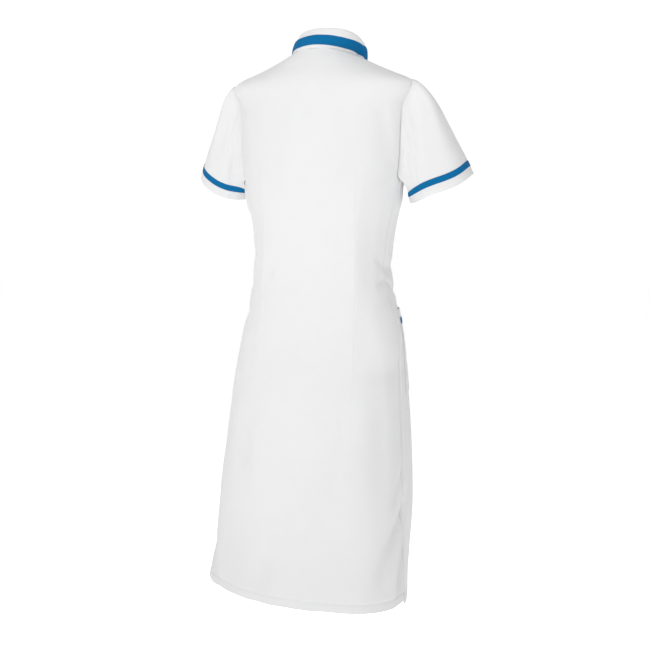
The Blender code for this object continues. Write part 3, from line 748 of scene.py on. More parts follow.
def plane_lift(angle, level):
    """How far the planes to the side of the right back dart stand out."""
    places = np.array([row[0] for row in PLANES])[::-1]
    depths = np.array([row[1] for row in PLANES])[::-1] / 1000.0
    total = 0.0
    for index, values in enumerate(depths.T):
        middle = math.radians(PLANE_START + PLANE_STEP * index)
        share = 1.0 - np.abs(wrapped(angle - middle)) / abs(math.radians(PLANE_STEP))
        total = total + smooth_curve(places, values, np.asarray(level, float)) * ease(share)
    return total


def soft_lift(angle, level):
    """Slight waves, planes and soft creases, which fade out at the neckline."""
    creases = crease_lift(CREASES, angle, level, GIRTH_RADIUS, 1.0)
    return ease(-level / NECK_FADE) * (uneven(angle, level) + plane_lift(angle, level) + creases)


def cloth_point(panel, angle, level, lift):
    """Point of a panel's cloth; the angle is signed, negative on the wearer's right."""
    level = np.asarray(level, float) + 0.0 * angle
    turned = np.abs(angle)
    total = soft_lift(angle, level) + lift
    total = total - HEM_GROOVE * np.exp(-((level - HEM_Z - HEM_LINE) / HEM_GROOVE_WIDTH) ** 2)
    sewn = 1.0 - ease(slit_share(level) * SEWN_FADE)
    drop = 0.0
    if panel == "back":
        inward = back_edge(level) - turned
        total = total + seam_lift(inward * GIRTH_RADIUS, level, sewn)
        total = total + dart_lift(angle, level, BACK_DARTS, BACK_DART_STRENGTHS)
    else:
        inward = turned - front_edge(level)
        total = total + seam_lift(inward * GIRTH_RADIUS, level, sewn)
        total = total + dart_lift(angle, level, FRONT_DARTS, FRONT_DART_STRENGTHS)
        flap = slit_share(level) * (1.0 - ease(inward / FLAP_WIDTH))
        total = total + FLAP_OUT * flap
        drop = FLAP_DROP * flap
    if panel == "front_left":
        total = total - TUCK_DEPTH * tuck(angle, level)
    point = lifted_point(angle, level, total)
    point[..., 2] -= drop
    return point


def main_rows(neck_rows, armhole_rows, body_rows):
    """Heights of rows from the neck, past the armholes, to the top of the slits."""
    neck = np.linspace(0.0, TIP_Z, neck_rows, endpoint=False)
    armhole = armhole_level(np.linspace(0.0, math.pi, armhole_rows))
    return np.concatenate([neck, armhole, np.linspace(UNDERARM_Z, SLIT_TOP_Z, body_rows)[1:]])


def panel_rows():
    """Heights of a panel's rows and how many layers inward each lies, with the turned hem at the end."""
    slit = np.linspace(SLIT_TOP_Z, HEM_Z + HEM_STEPS[0], SLIT_ROWS)[1:-1]
    outside = [main_rows(NECK_ROWS, ARMHOLE_ROWS, BODY_ROWS), slit, HEM_Z + np.array(HEM_STEPS)]
    turned = np.array(HEM_TURN_STEPS)
    levels = np.concatenate([*outside, HEM_Z + turned[:, 0]])
    layers = np.zeros(len(levels))
    layers[-len(turned):] = turned[:, 1]
    return levels, layers


def stretch(start, end, start_steps, end_steps, count):
    """Angles of columns from one line to another, close together near either as its steps say."""
    run = np.abs(end - start)[:, None]
    near = np.array(start_steps)[None, :] / GIRTH_RADIUS + 0.0 * run
    far = run - np.array(end_steps)[None, ::-1] / GIRTH_RADIUS
    shares = np.linspace(0.0, 1.0, count + 2)[None, 1:-1]
    middle = near[:, -1:] + (far[:, :1] - near[:, -1:]) * shares
    return start[:, None] + np.sign(end - start)[:, None] * np.concatenate([near, middle, far], axis=1)


def turned_columns(edge, inward, steps):
    """Columns of the cloth that is turned in at an edge, from the edge inward, and their layers."""
    steps = np.array(steps)
    return edge[:, None] + inward * steps[None, :, 0] / GIRTH_RADIUS, steps[:, 1]


def joined_columns(first, middle, last):
    """All columns of a panel between the cloth turned in at its two edges, and their layers."""
    first_columns, first_layers = first
    last_columns, last_layers = last
    angles = np.concatenate([first_columns[:, ::-1], *middle, last_columns], axis=1)
    layers = np.zeros(angles.shape[1])
    layers[:len(first_layers)] = first_layers[::-1]
    layers[-len(last_layers):] = last_layers
    return angles, layers


def back_columns(levels):
    edge = back_edge(levels)
    right, left = (dart_angle(angles, levels) for angles in BACK_DARTS)
    middle = (
        stretch(-edge, right, EDGE_STEPS, DART_STEPS, BACK_COLUMNS[0])[:, :-1],
        stretch(right, left, DART_STEPS, DART_STEPS, BACK_COLUMNS[1])[:, :-1],
        stretch(left, edge, DART_STEPS, EDGE_STEPS, BACK_COLUMNS[2]),
    )
    first = turned_columns(-edge, 1.0, TURN_STEPS)
    return joined_columns(first, middle, turned_columns(edge, -1.0, TURN_STEPS))


def front_columns(side, levels):
    outer = front_edge(levels)
    inner = front_inner(levels)
    dart = np.abs(dart_angle(FRONT_DARTS[0 if side < 0 else 1], levels))
    middle = (
        stretch(outer, dart, EDGE_STEPS, DART_STEPS, FRONT_COLUMNS[0])[:, :-1],
        stretch(dart, inner, DART_STEPS, EDGE_STEPS, FRONT_COLUMNS[1]),
    )
    facing = turned_columns(inner, -1.0, FACING_STEPS)
    angles, layers = joined_columns(turned_columns(outer, 1.0, TURN_STEPS), middle, facing)
    if side < 0:
        return -angles[:, ::-1], layers[::-1]
    return angles, layers


def grid_normals(grid, closed=False):
    """Outward directions of a grid of points whose columns run towards the wearer's left at the back."""
    if closed:
        along = np.roll(grid, -1, axis=1) - np.roll(grid, 1, axis=1)
    else:
        along = np.gradient(grid, axis=1)
    return unit(np.cross(along, np.gradient(grid, axis=0)))


def values_along(travelled, values, at):
    return np.stack([np.interp(at, travelled, values[:, axis]) for axis in range(3)], axis=-1)


def rows_at(grid, travelled, distances):
    """Values of a fine grid at given distances down each of its columns."""
    columns = [values_along(travelled[:, i], grid[:, i], distances[:, i]) for i in range(grid.shape[1])]
    return np.stack(columns, axis=1)


def down_columns(grid):
    """Distances down the columns of a grid."""
    lengths = np.linalg.norm(np.diff(grid, axis=0), axis=-1)
    return np.concatenate([np.zeros((1, grid.shape[1])), np.cumsum(lengths, axis=0)])


def placed(name, data):
    """A new object in the scene that shows some data."""
    made = bpy.data.objects.new(name, data)
    bpy.context.scene.collection.objects.link(made)
    return made


def mesh_from(made, name):
    """Turns what is being made into a mesh."""
    mesh = bpy.data.meshes.new(name)
    made.to_mesh(mesh)
    made.free()
    return mesh


def mesh_object(name, points, faces, material, corner_uvs=None):
    """An object from arrays of points and of four-cornered faces."""
    mesh = bpy.data.meshes.new(name)
    mesh.vertices.add(len(points))
    mesh.vertices.foreach_set("co", np.ascontiguousarray(points, np.float32).ravel())
    mesh.loops.add(faces.size)
    mesh.loops.foreach_set("vertex_index", np.ascontiguousarray(faces, np.int32).ravel())
    mesh.polygons.add(len(faces))
    mesh.polygons.foreach_set("loop_start", np.arange(0, faces.size, faces.shape[1], dtype=np.int32))
    mesh.update(calc_edges=True)
    if corner_uvs is not None:
        layer = mesh.uv_layers.new(name="UVMap")
        layer.data.foreach_set("uv", np.ascontiguousarray(corner_uvs, np.float32).ravel())
    mesh.materials.append(material)
    mesh.shade_smooth()
    return placed(name, mesh)


def shell_faces(rows, columns, closed):
    """Faces of a wall whose inner points follow its outer ones: both sides, then the rims between them."""
    inner = rows * columns
    count = columns if closed else columns - 1
    row, column = np.meshgrid(np.arange(rows - 1), np.arange(count), indexing="ij")
    here = (row * columns + column).ravel()
    beside = (row * columns + (column + 1) % columns).ravel()
    outside = np.stack([here, beside, beside + columns, here + columns], axis=-1)
    top = here[:count]
    next_top = beside[:count]
    low = (rows - 1) * columns
    rims = [(next_top, top), (low + top, low + next_top)]
    if not closed:
        side = np.arange(rows - 1) * columns
        rims.append((side, side + columns))
        rims.append((side + 2 * columns - 1, side + columns - 1))
    faces = [outside, outside[:, ::-1] + inner]
    faces.extend(np.stack([first, second, second + inner, first + inner], axis=-1) for first, second in rims)
    return np.concatenate(faces)


def shell_uvs(grid, faces, closed):
    """Metric places on the cloth for the faces' corners: across the cloth, and down its columns."""
    lengths = np.linalg.norm(np.diff(grid, axis=1), axis=-1)
    across = np.concatenate([np.zeros((grid.shape[0], 1)), np.cumsum(lengths, axis=1)], axis=1)
    if not closed:
        across = across - across[:, grid.shape[1] // 2][:, None]
    uvs = np.stack([across, down_columns(grid)], axis=-1).reshape(-1, 2)
    corners = np.concatenate([uvs, uvs])[faces]
    if closed:
        across = corners[..., 0]
        girth = across.max()
        split = across.max(axis=1) - across.min(axis=1) > girth / 2
        across[split] += np.where(across[split] < girth / 2, girth, 0.0)
    return corners


def shell(name, grid, thickness, material, closed=False):
    """A closed wall of cloth from rows of points, half its thickness to each side."""
    half = np.broadcast_to(np.asarray(thickness, float) / 2.0, grid.shape[:2])[..., None]
    outward = grid_normals(grid, closed) * half
    points = np.concatenate([(grid + outward).reshape(-1, 3), (grid - outward).reshape(-1, 3)])
    faces = shell_faces(*grid.shape[:2], closed)
    return mesh_object(name, points, faces, material, shell_uvs(grid, faces, closed))


def rounded(distance, reach):
    """Share of a wall's thickness near its edge, so that the edge is round."""
    part = np.clip(distance / reach, 0.0, 1.0)
    return EDGE_THIN + (1.0 - EDGE_THIN) * np.sqrt(1.0 - (1.0 - part) ** 2)


def band_form(steps, width, below):
    """How far a band's middle lies off the middle of the cloth below, and its thickness, across its width."""
    edge = np.minimum(steps, width - steps)
    lift = (below + BAND) / 2 + BAND_CLEARANCE + BAND_CURVE * ease(edge / BAND_CURVE_REACH)
    return lift, BAND * rounded(edge, CLOTH_ROUND)


def make_panel(name, columns, rows, material):
    """The cloth of the back or of a front, with its hem, seam allowances and facing turned in."""
    angles, column_layers = columns
    levels, row_layers = rows
    layers = column_layers[None, :] + row_layers[:, None]
    grid = cloth_point(name, angles, levels[:, None] + 0.0 * angles, -LAYER * layers)
    return shell(name + "_cloth", grid, CLOTH, material)


def armhole_line(side):
    """Points round an armhole, on the wearer's left."""
    level = armhole_level(SLEEVE_TURNS)
    opening = np.where(np.sin(SLEEVE_TURNS) >= 0.0, ARMHOLE_FRONT, ARMHOLE_BACK) * np.sin(SLEEVE_TURNS)
    angle = side * (seam_angle(level) + opening)
    armhole = lifted_point(angle, level, soft_lift(angle, level) - GROOVE_DEPTH / 2)
    armhole[:, 0] *= side
    return armhole


def hem_line(where):
    """Points round a sleeve's hem, as if it were the left one."""
    shape = SLEEVES[where]
    axis = unit(np.array([math.sin(SLEEVE_TILT), -shape.lean, -math.cos(SLEEVE_TILT)]))
    outward = unit(np.array([-axis[2], 0.0, axis[0]]))
    forward = np.cross(axis, outward)
    around = np.cos(SLEEVE_TURNS)[:, None] * outward * shape.height_radius
    around = around + np.sin(SLEEVE_TURNS)[:, None] * forward * SLEEVE_DEPTH_RADIUS
    times, place = HEM_WAVES[where]
    around = around + axis * HEM_WAVE * np.cos(times * (SLEEVE_TURNS - math.radians(place)))[:, None]
    return np.array(shape.centre) + around


def sleeve_base(where):
    """Rows of a sleeve's form, from inside the armhole to its hem, as if it were the left one."""
    reach = SLEEVES[where].cap_reach
    armhole = armhole_line(SIDES[where])
    hem = hem_line(where)
    spread = armhole - armhole.mean(axis=0)
    spread[:, 0] = 0.0
    spread = unit(spread)
    leave = unit(np.array(CAP_OUT) + CAP_FLARE * spread)
    reach = reach + (CAP_REACH_UNDER - reach) * (1.0 - np.cos(SLEEVE_TURNS))[:, None] / 2
    start = armhole + leave * SLEEVE_START - spread * SLEEVE_INSET
    corner = armhole + leave * reach
    first = start + CAP_START_FULLNESS * (corner - start)
    second = hem + CAP_END_FULLNESS * (corner - hem)
    rows = [start - leave * back - spread * inward for back, inward in SLEEVE_INSIDE]
    for part in np.linspace(0.0, 1.0, SLEEVE_BASE_ROWS):
        rest = 1.0 - part
        upper = rest ** 3 * start + 3 * rest ** 2 * part * first
        rows.append(upper + 3 * rest * part ** 2 * second + part ** 3 * hem)
    return np.array(rows)


def sleeve_lift(where, distances, share):
    """Soft creases, slight waves and the cap's gathers of a sleeve, which fade out at the armhole."""
    turns = SLEEVE_TURNS[None, :] + 0.0 * share
    lift = crease_lift(SLEEVE_CREASES[where], turns, share, SLEEVE_GIRTH_RADIUS, SLEEVE_LENGTH)
    picked = np.random.default_rng(SLEEVE_SEEDS[where])
    for _ in range(SLEEVE_WAVES):
        times = picked.integers(1, 7)
        rise = picked.normal(0.0, SLEEVE_WAVE_RISE)
        phase = picked.uniform(0.0, FULL_TURN)
        lift = lift + SLEEVE_WAVE * np.sin(times * turns + rise * share + phase)
    gathers = np.sin(31.0 * turns + 1.1 * np.sin(3.0 * turns)) + 0.7 * np.sin(47.0 * turns + 0.6)
    near = np.clip(distances, 0.0, None)
    fading = np.exp(-near / GATHERS_END) * (1 - np.exp(-near / GATHERS_START))
    lift = lift + GATHERS * gathers * fading * (1.2 + np.cos(turns))
    return lift * ease(near / SLEEVE_FADE)


def sleeve_rows(where, base, distances):
    """Points and outward directions of a sleeve's cloth at distances from the armhole."""
    travelled = down_columns(base)
    travelled = travelled - travelled[len(SLEEVE_INSIDE)]
    normals = unit(rows_at(grid_normals(base, True), travelled, distances))
    lift = sleeve_lift(where, distances, distances / travelled[-1])
    return rows_at(base, travelled, distances) + normals * lift[..., None], normals


def sided(grid, side):
    """A grid that was made as if on the left, put on its own side with its columns in the same order."""
    grid = grid * np.array([side, 1.0, 1.0])
    return grid if side > 0 else grid[:, ::-1]


def make_sleeve(where, white, blue):
    """A sleeve with its hem turned in, its coloured band, and the band's grid."""
    side = SIDES[where]
    base = sleeve_base(where)
    travelled = down_columns(base)
    length = travelled[-1] - travelled[len(SLEEVE_INSIDE)]
    top = np.array(SLEEVE_TOP_STEPS)[:, None]
    middle = (length - top[-1] - SLEEVE_LOW)[None, :] * np.linspace(0.0, 1.0, SLEEVE_ROWS)[1:, None]
    low = length - np.array(SLEEVE_LOW_STEPS)[:, None]
    outside, _ = sleeve_rows(where, base, np.concatenate([top + 0.0 * length, top[-1] + middle, low]))
    turned = np.array(SLEEVE_TURN_STEPS)
    inside, inward = sleeve_rows(where, base, length - np.clip(turned[:, :1], 0.0, None))
    inside = inside - inward * (LAYER * turned[:, 1])[:, None, None]
    inside[0] += unit(outside[-1] - outside[-2]) * SLEEVE_HEM_ROUND
    grid = sided(np.concatenate([outside, inside]), side)
    cloth = shell("sleeve_%s_cloth" % where, grid, CLOTH, white, closed=True)
    steps = np.array(BAND_STEPS)
    lift, thickness = band_form(steps, BAND_WIDTH, CLOTH)
    band, outward = sleeve_rows(where, base, length - (HEM_MARGIN + BAND_WIDTH - steps)[:, None])
    band = sided(band + outward * lift[:, None, None], side)
    ribbon = shell("sleeve_band_%s_cloth" % where, band, thickness[:, None], blue, closed=True)
    return cloth, ribbon, band


def right_share(angle):
    """Grows from 0 at the centre back and front to 1 at the wearer's right."""
    return np.clip(-np.sin(angle), 0.0, 1.0) ** 2


def fold_ring(angle):
    """Top of the stand, where the collar folds over."""
    x = FOLD_HALF_WIDTH * np.sin(angle) - FOLD_LEAN * right_share(angle)
    y = FOLD_HALF_DEPTH * np.cos(angle)
    below = FOLD_RADIUS + FOLD_ROUND + LEAF_START + COLLAR_WALL / 2
    return np.stack([x, y, rib_value("fold_z", angle) - below - COLLAR_SLOPE * x], axis=-1)


def leaf_edge(angle):
    """Lower edge of the leaf: on the body, as far from the fold as the leaf is wide."""
    edge_angle = np.radians(rib_value("edge_angle", angle)) * np.sign(angle)
    width = rib_value("width", angle) - LEAF_LESS * right_share(angle)
    levels = np.linspace(0.0, UNDERARM_Z, LEAF_SAMPLES)[None, :] + 0.0 * angle[:, None]
    lines = lifted_point(edge_angle[:, None] + 0.0 * levels, levels, LEAF_LIFT + 0.0 * levels)
    far = np.linalg.norm(lines - fold_ring(angle)[:, None], axis=-1)
    place = np.argmax(far >= width[:, None], axis=1)
    own = np.arange(len(angle))
    before = far[own, place - 1]
    part = ((width - before) / (far[own, place] - before))[:, None]
    return lines[own, place - 1] * (1.0 - part) + lines[own, place] * part


def leaf_base(angle):
    """Rows of the collar's leaf from the stand, over the fold and down to its lower edge."""
    out = np.stack([np.sin(angle), np.cos(angle), np.zeros_like(angle)], axis=-1)
    base = fold_ring(angle) + UP * LEAF_START
    rows = [base]
    for turn in np.linspace(0.0, FOLD_TURN, LEAF_FOLD_ROWS):
        bend = (1.0 - math.cos(turn)) * out + math.sin(turn) * UP
        rows.append(base + UP * FOLD_ROUND + FOLD_RADIUS * bend)
    last = rows[-1]
    run = leaf_edge(angle) - last
    for part in np.linspace(0.0, 1.0, LEAF_ROWS)[1:]:
        roll = LEAF_ROLL * right_share(angle)[:, None] * math.sin(math.pi * part ** LEAF_ROLL_POWER)
        rows.append(last + run * part + out * (LEAF_BULGE * math.sin(math.pi * part) + roll))
    return np.array(rows)


def band_margin(angle):
    """Distance of the collar's band from the leaf's edge, which narrows from the back to the shoulders."""
    return COLLAR_MARGIN - COLLAR_MARGIN_LESS * ease(np.abs(angle) / COLLAR_MARGIN_END)


def collar_lift(angle, share):
    """Slight waves of the leaf, free at its edge."""
    waves = sum(height * np.sin(times * angle + phase) for height, times, phase in COLLAR_WAVES)
    return waves * ease(share)


def collar_ends(angle):
    """Distances from the collar's ends at the centre front."""
    return (COLLAR_END - np.abs(angle)) * FOLD_HALF_WIDTH


def leaf_rows(angle, base, down, lift):
    """Rows lifted off the leaf's form at distances down from the stand, with the leaf's slight waves."""
    travelled = down_columns(base)
    lift = lift + collar_lift(angle[None, :], down / travelled[-1])
    return rows_at(base, travelled, down) + rows_at(grid_normals(base), travelled, down) * lift[..., None]


def make_leaf(angle, base, white):
    """The collar's leaf, and its grid."""
    length = down_columns(base)[-1]
    top = np.array(LEAF_TOP_STEPS)[:, None] + 0.0 * length
    down = np.concatenate([top, length - np.array(LEAF_LOW_STEPS)[:, None]])
    grid = leaf_rows(angle, base, down, 0.0)
    to_edge = np.minimum(length - down, collar_ends(angle)[None, :] * LEAF_END_WIDENING)
    return shell("collar_leaf_cloth", grid, COLLAR_CLOTH * rounded(to_edge, LEAF_ROUND), white), grid


def make_stand(angle, white):
    """The collar's stand, from the neckline up to the fold."""
    bottom = body_point(angle, np.zeros_like(angle)) + UP * (STAND_CLEARANCE / 2)
    shares = np.array(STAND_SHARES)[::-1, None, None]
    grid = bottom + (fold_ring(angle) - bottom) * shares
    thickness = COLLAR_CLOTH * rounded(collar_ends(angle), STAND_ROUND)
    return shell("collar_stand_cloth", grid, thickness[None, :], white)


def make_collar_band(angle, base, blue):
    """The collar's coloured band, and its grid."""
    steps = np.array(COLLAR_BAND_STEPS)[:, None]
    lift, thickness = band_form(steps, COLLAR_BAND_WIDTH, COLLAR_CLOTH)
    down = down_columns(base)[-1] - band_margin(angle) - COLLAR_BAND_WIDTH + steps
    grid = leaf_rows(angle, base, down, lift)[:, np.abs(angle) <= COLLAR_BAND_END]
    return shell("collar_band_cloth", grid, thickness, blue), grid


def collar_angles():
    """Angles of the collar's columns, close together at its ends."""
    near = np.radians(COLLAR_END_STEPS)
    reach = COLLAR_END - COLLAR_END_SPAN
    middle = np.linspace(-reach, reach, COLLAR_COLUMNS)
    return np.concatenate([near - COLLAR_END, middle, COLLAR_END - near[::-1]])


def pocket_angle(side, across):
    return side * (POCKET_OUTER + (POCKET_INNER - POCKET_OUTER) * across)


def pocket_inset(across, drop):
    """Distance from a pocket's sewn edges."""
    return np.minimum(np.minimum(across, 1.0 - across) * POCKET_WIDTH, POCKET_HEIGHT - drop)


def pocket_point(side, across, drop, lift):
    """Place on a pocket by the share across it and the distance below its mouth."""
    angle = pocket_angle(side, across)
    level = POCKET_MOUTH_Z - drop
    opened = POCKET_OPEN * np.sin(math.pi * across) * (1.0 - drop / POCKET_HEIGHT) ** POCKET_OPEN_POWER
    swell = POCKET_SWELL * ease(pocket_inset(across, drop) / POCKET_SWELL_REACH)
    return lifted_point(angle, level, opened + POCKET_LIFT + swell + lift + soft_lift(angle, level))


def make_pocket(where, white, blue):
    """A patch pocket with its mouth turned in, and the coloured band below the mouth."""
    side = SIDES[where]
    near = np.array(POCKET_SIDE_STEPS) / POCKET_WIDTH
    across = np.linspace(near[-1], 1.0 - near[-1], POCKET_COLUMNS)[1:-1]
    across = np.concatenate([near, across, 1.0 - near[::-1]])[None, ::side]
    turned = np.array(POCKET_TURN_STEPS)
    low = POCKET_HEIGHT - np.array(POCKET_LOW_STEPS)
    drop = [POCKET_TOP_STEPS, np.linspace(POCKET_MIDDLE, low[0], POCKET_ROWS)[:-1], low]
    drop = np.concatenate([turned[:, 0], *drop])[:, None]
    layers = np.zeros(drop.shape)
    layers[:len(turned)] = turned[:, 1:]
    grid = pocket_point(side, across, drop, -POCKET_LAYER * layers)
    thickness = CLOTH * rounded(pocket_inset(across, drop), CLOTH_ROUND)
    patch = shell("pocket_%s_cloth" % where, grid, thickness, white)
    steps = np.array(BAND_STEPS)[:, None]
    lift, thickness = band_form(steps, BAND_WIDTH, CLOTH)
    band = pocket_point(side, across, HEM_MARGIN + steps, lift)
    return patch, shell("pocket_band_%s_cloth" % where, band, thickness, blue)


def button_blank():
    """A turned button without its holes, as a mesh that is being made."""
    made = bmesh.new()
    rings = []
    for radius, height in BUTTON_PROFILE:
        if radius == 0.0:
            rings.append([made.verts.new((0.0, 0.0, height))] * BUTTON_SIDES)
            continue
        turns = np.linspace(0.0, FULL_TURN, BUTTON_SIDES, endpoint=False)
        rings.append([made.verts.new((radius * math.cos(at), radius * math.sin(at), height)) for at in turns])
    for upper, lower in zip(rings, rings[1:]):
        for index in range(BUTTON_SIDES):
            beside = (index + 1) % BUTTON_SIDES
            corners = [upper[index], lower[index], lower[beside], upper[beside]]
            made.faces.new(list(dict.fromkeys(corners)))
    bmesh.ops.recalc_face_normals(made, faces=made.faces)
    return made


def button_holes():
    """Rods in the places of a button's four holes, as a mesh that is being made."""
    made = bmesh.new()
    size = {"segments": HOLE_SIDES, "radius1": HOLE_RADIUS, "radius2": HOLE_RADIUS, "depth": HOLE_DEPTH}
    for x, y in HOLE_PLACES:
        bmesh.ops.create_cone(made, cap_ends=True, matrix=Matrix.Translation((x, y, 0.0)), **size)
    return made


def make_button_mesh(plastic, thread):
    """A button with a rim, four holes and thread through them."""
    blank = placed("button_blank", mesh_from(button_blank(), "button_blank"))
    holes = placed("button_holes", mesh_from(button_holes(), "button_holes"))
    cut = blank.modifiers.new("Holes", "BOOLEAN")
    cut.operation = "DIFFERENCE"
    cut.solver = "EXACT"
    cut.object = holes
    mesh = bpy.data.meshes.new_from_object(blank.evaluated_get(bpy.context.evaluated_depsgraph_get()))
    for item in (blank, holes):
        bpy.data.objects.remove(item, do_unlink=True)
    mesh.materials.clear()
    mesh.materials.append(plastic)
    mesh.materials.append(thread)
    add_crossing(mesh)
    mesh.shade_smooth()
    return mesh


def add_crossing(mesh):
    """Adds the threads that cross between a button's holes, and go down to the cloth, to its mesh."""
    made = bmesh.new()
    made.from_mesh(mesh)
    places = np.array(HOLE_PLACES)
    for start, end in (places[0::2], places[1::2]):
        run = end - start
        across = unit(np.array((-run[1], run[0])))
        for aside in (-CROSSING_GAP, 0.0, CROSSING_GAP):
            first = start + across * aside
            path = [(*(first + run * share), height) for share, height in CROSSING_PATH]
            add_tube(made, np.array(path), CROSSING_RADIUS)
    made.to_mesh(mesh)
    made.free()


def add_tube(made, path, radius):
    """Adds a thread along a path to a mesh that is being made, in the second material."""
    rings = []
    for index, place in enumerate(path):
        along = unit(path[min(index + 1, len(path) - 1)] - path[max(index - 1, 0)])
        aside = unit(np.cross(along, OFF_CROSSING))
        other = np.cross(along, aside)
        ring = []
        for turn in np.linspace(0.0, FULL_TURN, CROSSING_SIDES, endpoint=False):
            ring.append(made.verts.new(place + radius * (math.cos(turn) * aside + math.sin(turn) * other)))
        rings.append(ring)
    for first, second in zip(rings, rings[1:]):
        for index in range(CROSSING_SIDES):
            beside = (index + 1) % CROSSING_SIDES
            face = made.faces.new((first[index], first[beside], second[beside], second[index]))
            face.material_index = 1
    for cap in (rings[0][::-1], rings[-1]):
        made.faces.new(cap).material_index = 1


def button_level(number):
    """Height of a button, half way between the rows of the solid front that it lies between."""
    rows = main_rows(*SOLID_ROWS)
    level = FIRST_BUTTON_Z + (LAST_BUTTON_Z - FIRST_BUTTON_Z) * number / (BUTTON_COUNT - 1)
    above = np.searchsorted(-rows, -level, side="right") - 1
    return (rows[above] + rows[above + 1]) / 2


def make_buttons(plastic, thread):
    """The buttons, each turned a little further than the one above."""
    mesh = make_button_mesh(plastic, thread)
    angle = np.array(-math.pi)
    made = []
    for number in range(BUTTON_COUNT):
        level = np.array(button_level(number))
        place = cloth_point("front_right", angle, level, CLOTH / 2 + BUTTON_SHANK + BUTTON_THICKNESS / 2)
        facing = Vector(body_normal(angle, level)).to_track_quat("Z", "Y").to_matrix().to_4x4()
        own = mesh.copy()
        turn = facing @ Matrix.Rotation(BUTTON_TURN * number, 4, "Z")
        own.transform(Matrix.Translation(Vector(place)) @ turn)
        made.append(placed("button_%d_turned" % (number + 1), own))
    return made


def run_of(points, normals):
    """Stitches along a line on the cloth, as starts, ends, outward directions and radii."""
    steps = np.linalg.norm(np.diff(points, axis=0), axis=1)
    travelled = np.concatenate([[0.0], np.cumsum(steps)])
    count = max(int(travelled[-1] / STITCH_PITCH), 1)
    middles = (np.arange(count) + 0.5) * travelled[-1] / count
    start, end = (
        values_along(travelled, points, np.clip(middles + offset, 0.0, travelled[-1]))
        for offset in (-STITCH_LENGTH / 2, STITCH_LENGTH / 2)
    )
    return start, end, unit(values_along(travelled, normals, middles)), np.full(count, STITCH_RADIUS)


def stitch_faces():
    """Faces of one stitch: its sides, and two four-cornered halves of the cap at each end."""
    last = (len(STITCH_PROFILE) - 1) * STITCH_SIDES
    faces = []
    for ring in range(0, last, STITCH_SIDES):
        for index in range(STITCH_SIDES):
            here = ring + index
            beside = ring + (index + 1) % STITCH_SIDES
            faces.append((here, beside, beside + STITCH_SIDES, here + STITCH_SIDES))
    faces.extend([(0, 5, 4, 3), (0, 3, 2, 1)])
    faces.extend((last, last + index, last + index + 1, last + index + 2) for index in (1, 3))
    return np.array(faces)


def make_thread(name, runs, material):
    """One mesh of stitches: each is a small rounded strand that dips into the cloth at both ends."""
    start, end, outward, radius = (np.concatenate(parts) for parts in zip(*runs))
    radius = radius[:, None]
    aside = unit(np.cross(unit(end - start), outward))
    points = []
    for share, lift, size in STITCH_PROFILE:
        middle = start + (end - start) * share + outward * radius * lift
        for turn in np.linspace(0.0, FULL_TURN, STITCH_SIDES, endpoint=False):
            points.append(middle + radius * size * (math.cos(turn) * aside + math.sin(turn) * outward))
    points = np.stack(points, axis=1)
    faces = stitch_faces()[None] + (np.arange(len(start)) * points.shape[1])[:, None, None]
    return mesh_object(name, points.reshape(-1, 3), faces.reshape(-1, 4), material)


def line_on(panel, angle, level):
    """Points on the outer face of a panel along a line, and the outward directions there."""
    angle, level = np.broadcast_arrays(np.asarray(angle, float), np.asarray(level, float))
    return cloth_point(panel, angle, level, CLOTH / 2), body_normal(angle, level)


def panel_run(panel, angle, level):
    return run_of(*line_on(panel, angle, level))


def buttonhole(number):
    """Close stitches on both sides of a buttonhole that runs up and down beneath its button."""
    level = button_level(number)
    levels = np.linspace(level - HOLE_HALF_LENGTH, level + HOLE_HALF_LENGTH, HOLE_STITCHES)
    runs = []
    for aside in (-HOLE_SIDE_ANGLE, HOLE_SIDE_ANGLE):
        points, normals = line_on("front_right", -math.pi + aside, levels)
        across = unit(np.cross(normals, UP)) * HOLE_STITCH_HALF
        runs.append((points - across, points + across, normals, np.full(len(levels), STITCH_RADIUS)))
    return runs


def bar_tack(panel, angle, level):
    """A short thick bar of thread across the top of a slit."""
    angles = angle + np.linspace(-TACK_WIDTH / 2, TACK_WIDTH / 2, TACK_STITCHES) / GIRTH_RADIUS
    points, normals = line_on(panel, angles, level)
    up = UP * TACK_HALF_HEIGHT
    return points - up, points + up, normals, np.full(len(points), TACK_RADIUS)


def side_runs(side, panel):
    """Stitches of a front's hem and of both edges of the slit on its side, with a bar at the slit's top."""
    edge = front_edge(HEM_STITCH_Z)
    hem = side * (edge + (front_inner(HEM_STITCH_Z) - edge) * np.linspace(0.0, 1.0, HEM_FRONT_POINTS))
    top = SLIT_TOP_Z + TACK_INSET
    levels = np.linspace(HEM_STITCH_Z, top, SLIT_POINTS)
    inset = SLIT_STITCH_INSET / GIRTH_RADIUS
    tack = side * (back_edge(SLIT_TOP_Z) - TACK_INSET / GIRTH_RADIUS)
    return [
        panel_run(panel, hem, HEM_STITCH_Z),
        panel_run(panel, side * (front_edge(levels) + inset), levels),
        panel_run("back", side * (back_edge(levels) - inset), levels),
        bar_tack("back", tack, top),
    ]


def white_runs():
    """Lines of white stitches on the body: hems, slits, the front's edge and the buttonholes."""
    across = np.linspace(-1.0, 1.0, HEM_BACK_POINTS)
    runs = [panel_run("back", back_edge(HEM_STITCH_Z) * across, HEM_STITCH_Z)]
    for where, side in SIDES.items():
        runs.extend(side_runs(side, "front_" + where))
    levels = np.linspace(*FACING_STITCH_Z, FACING_POINTS)
    for inset in FACING_STITCH_INSETS:
        angles = -(front_inner(levels) - inset / body_value("front", levels))
        runs.append(panel_run("front_right", angles, levels))
    for number in range(BUTTON_COUNT):
        runs.extend(buttonhole(number))
    return runs


def pocket_run(side, across, drop, lift):
    """Stitches along a line on a pocket."""
    drop = drop + 0.0 * across
    normals = body_normal(pocket_angle(side, across), POCKET_MOUTH_Z - drop)
    return run_of(pocket_point(side, across, drop, lift), normals)


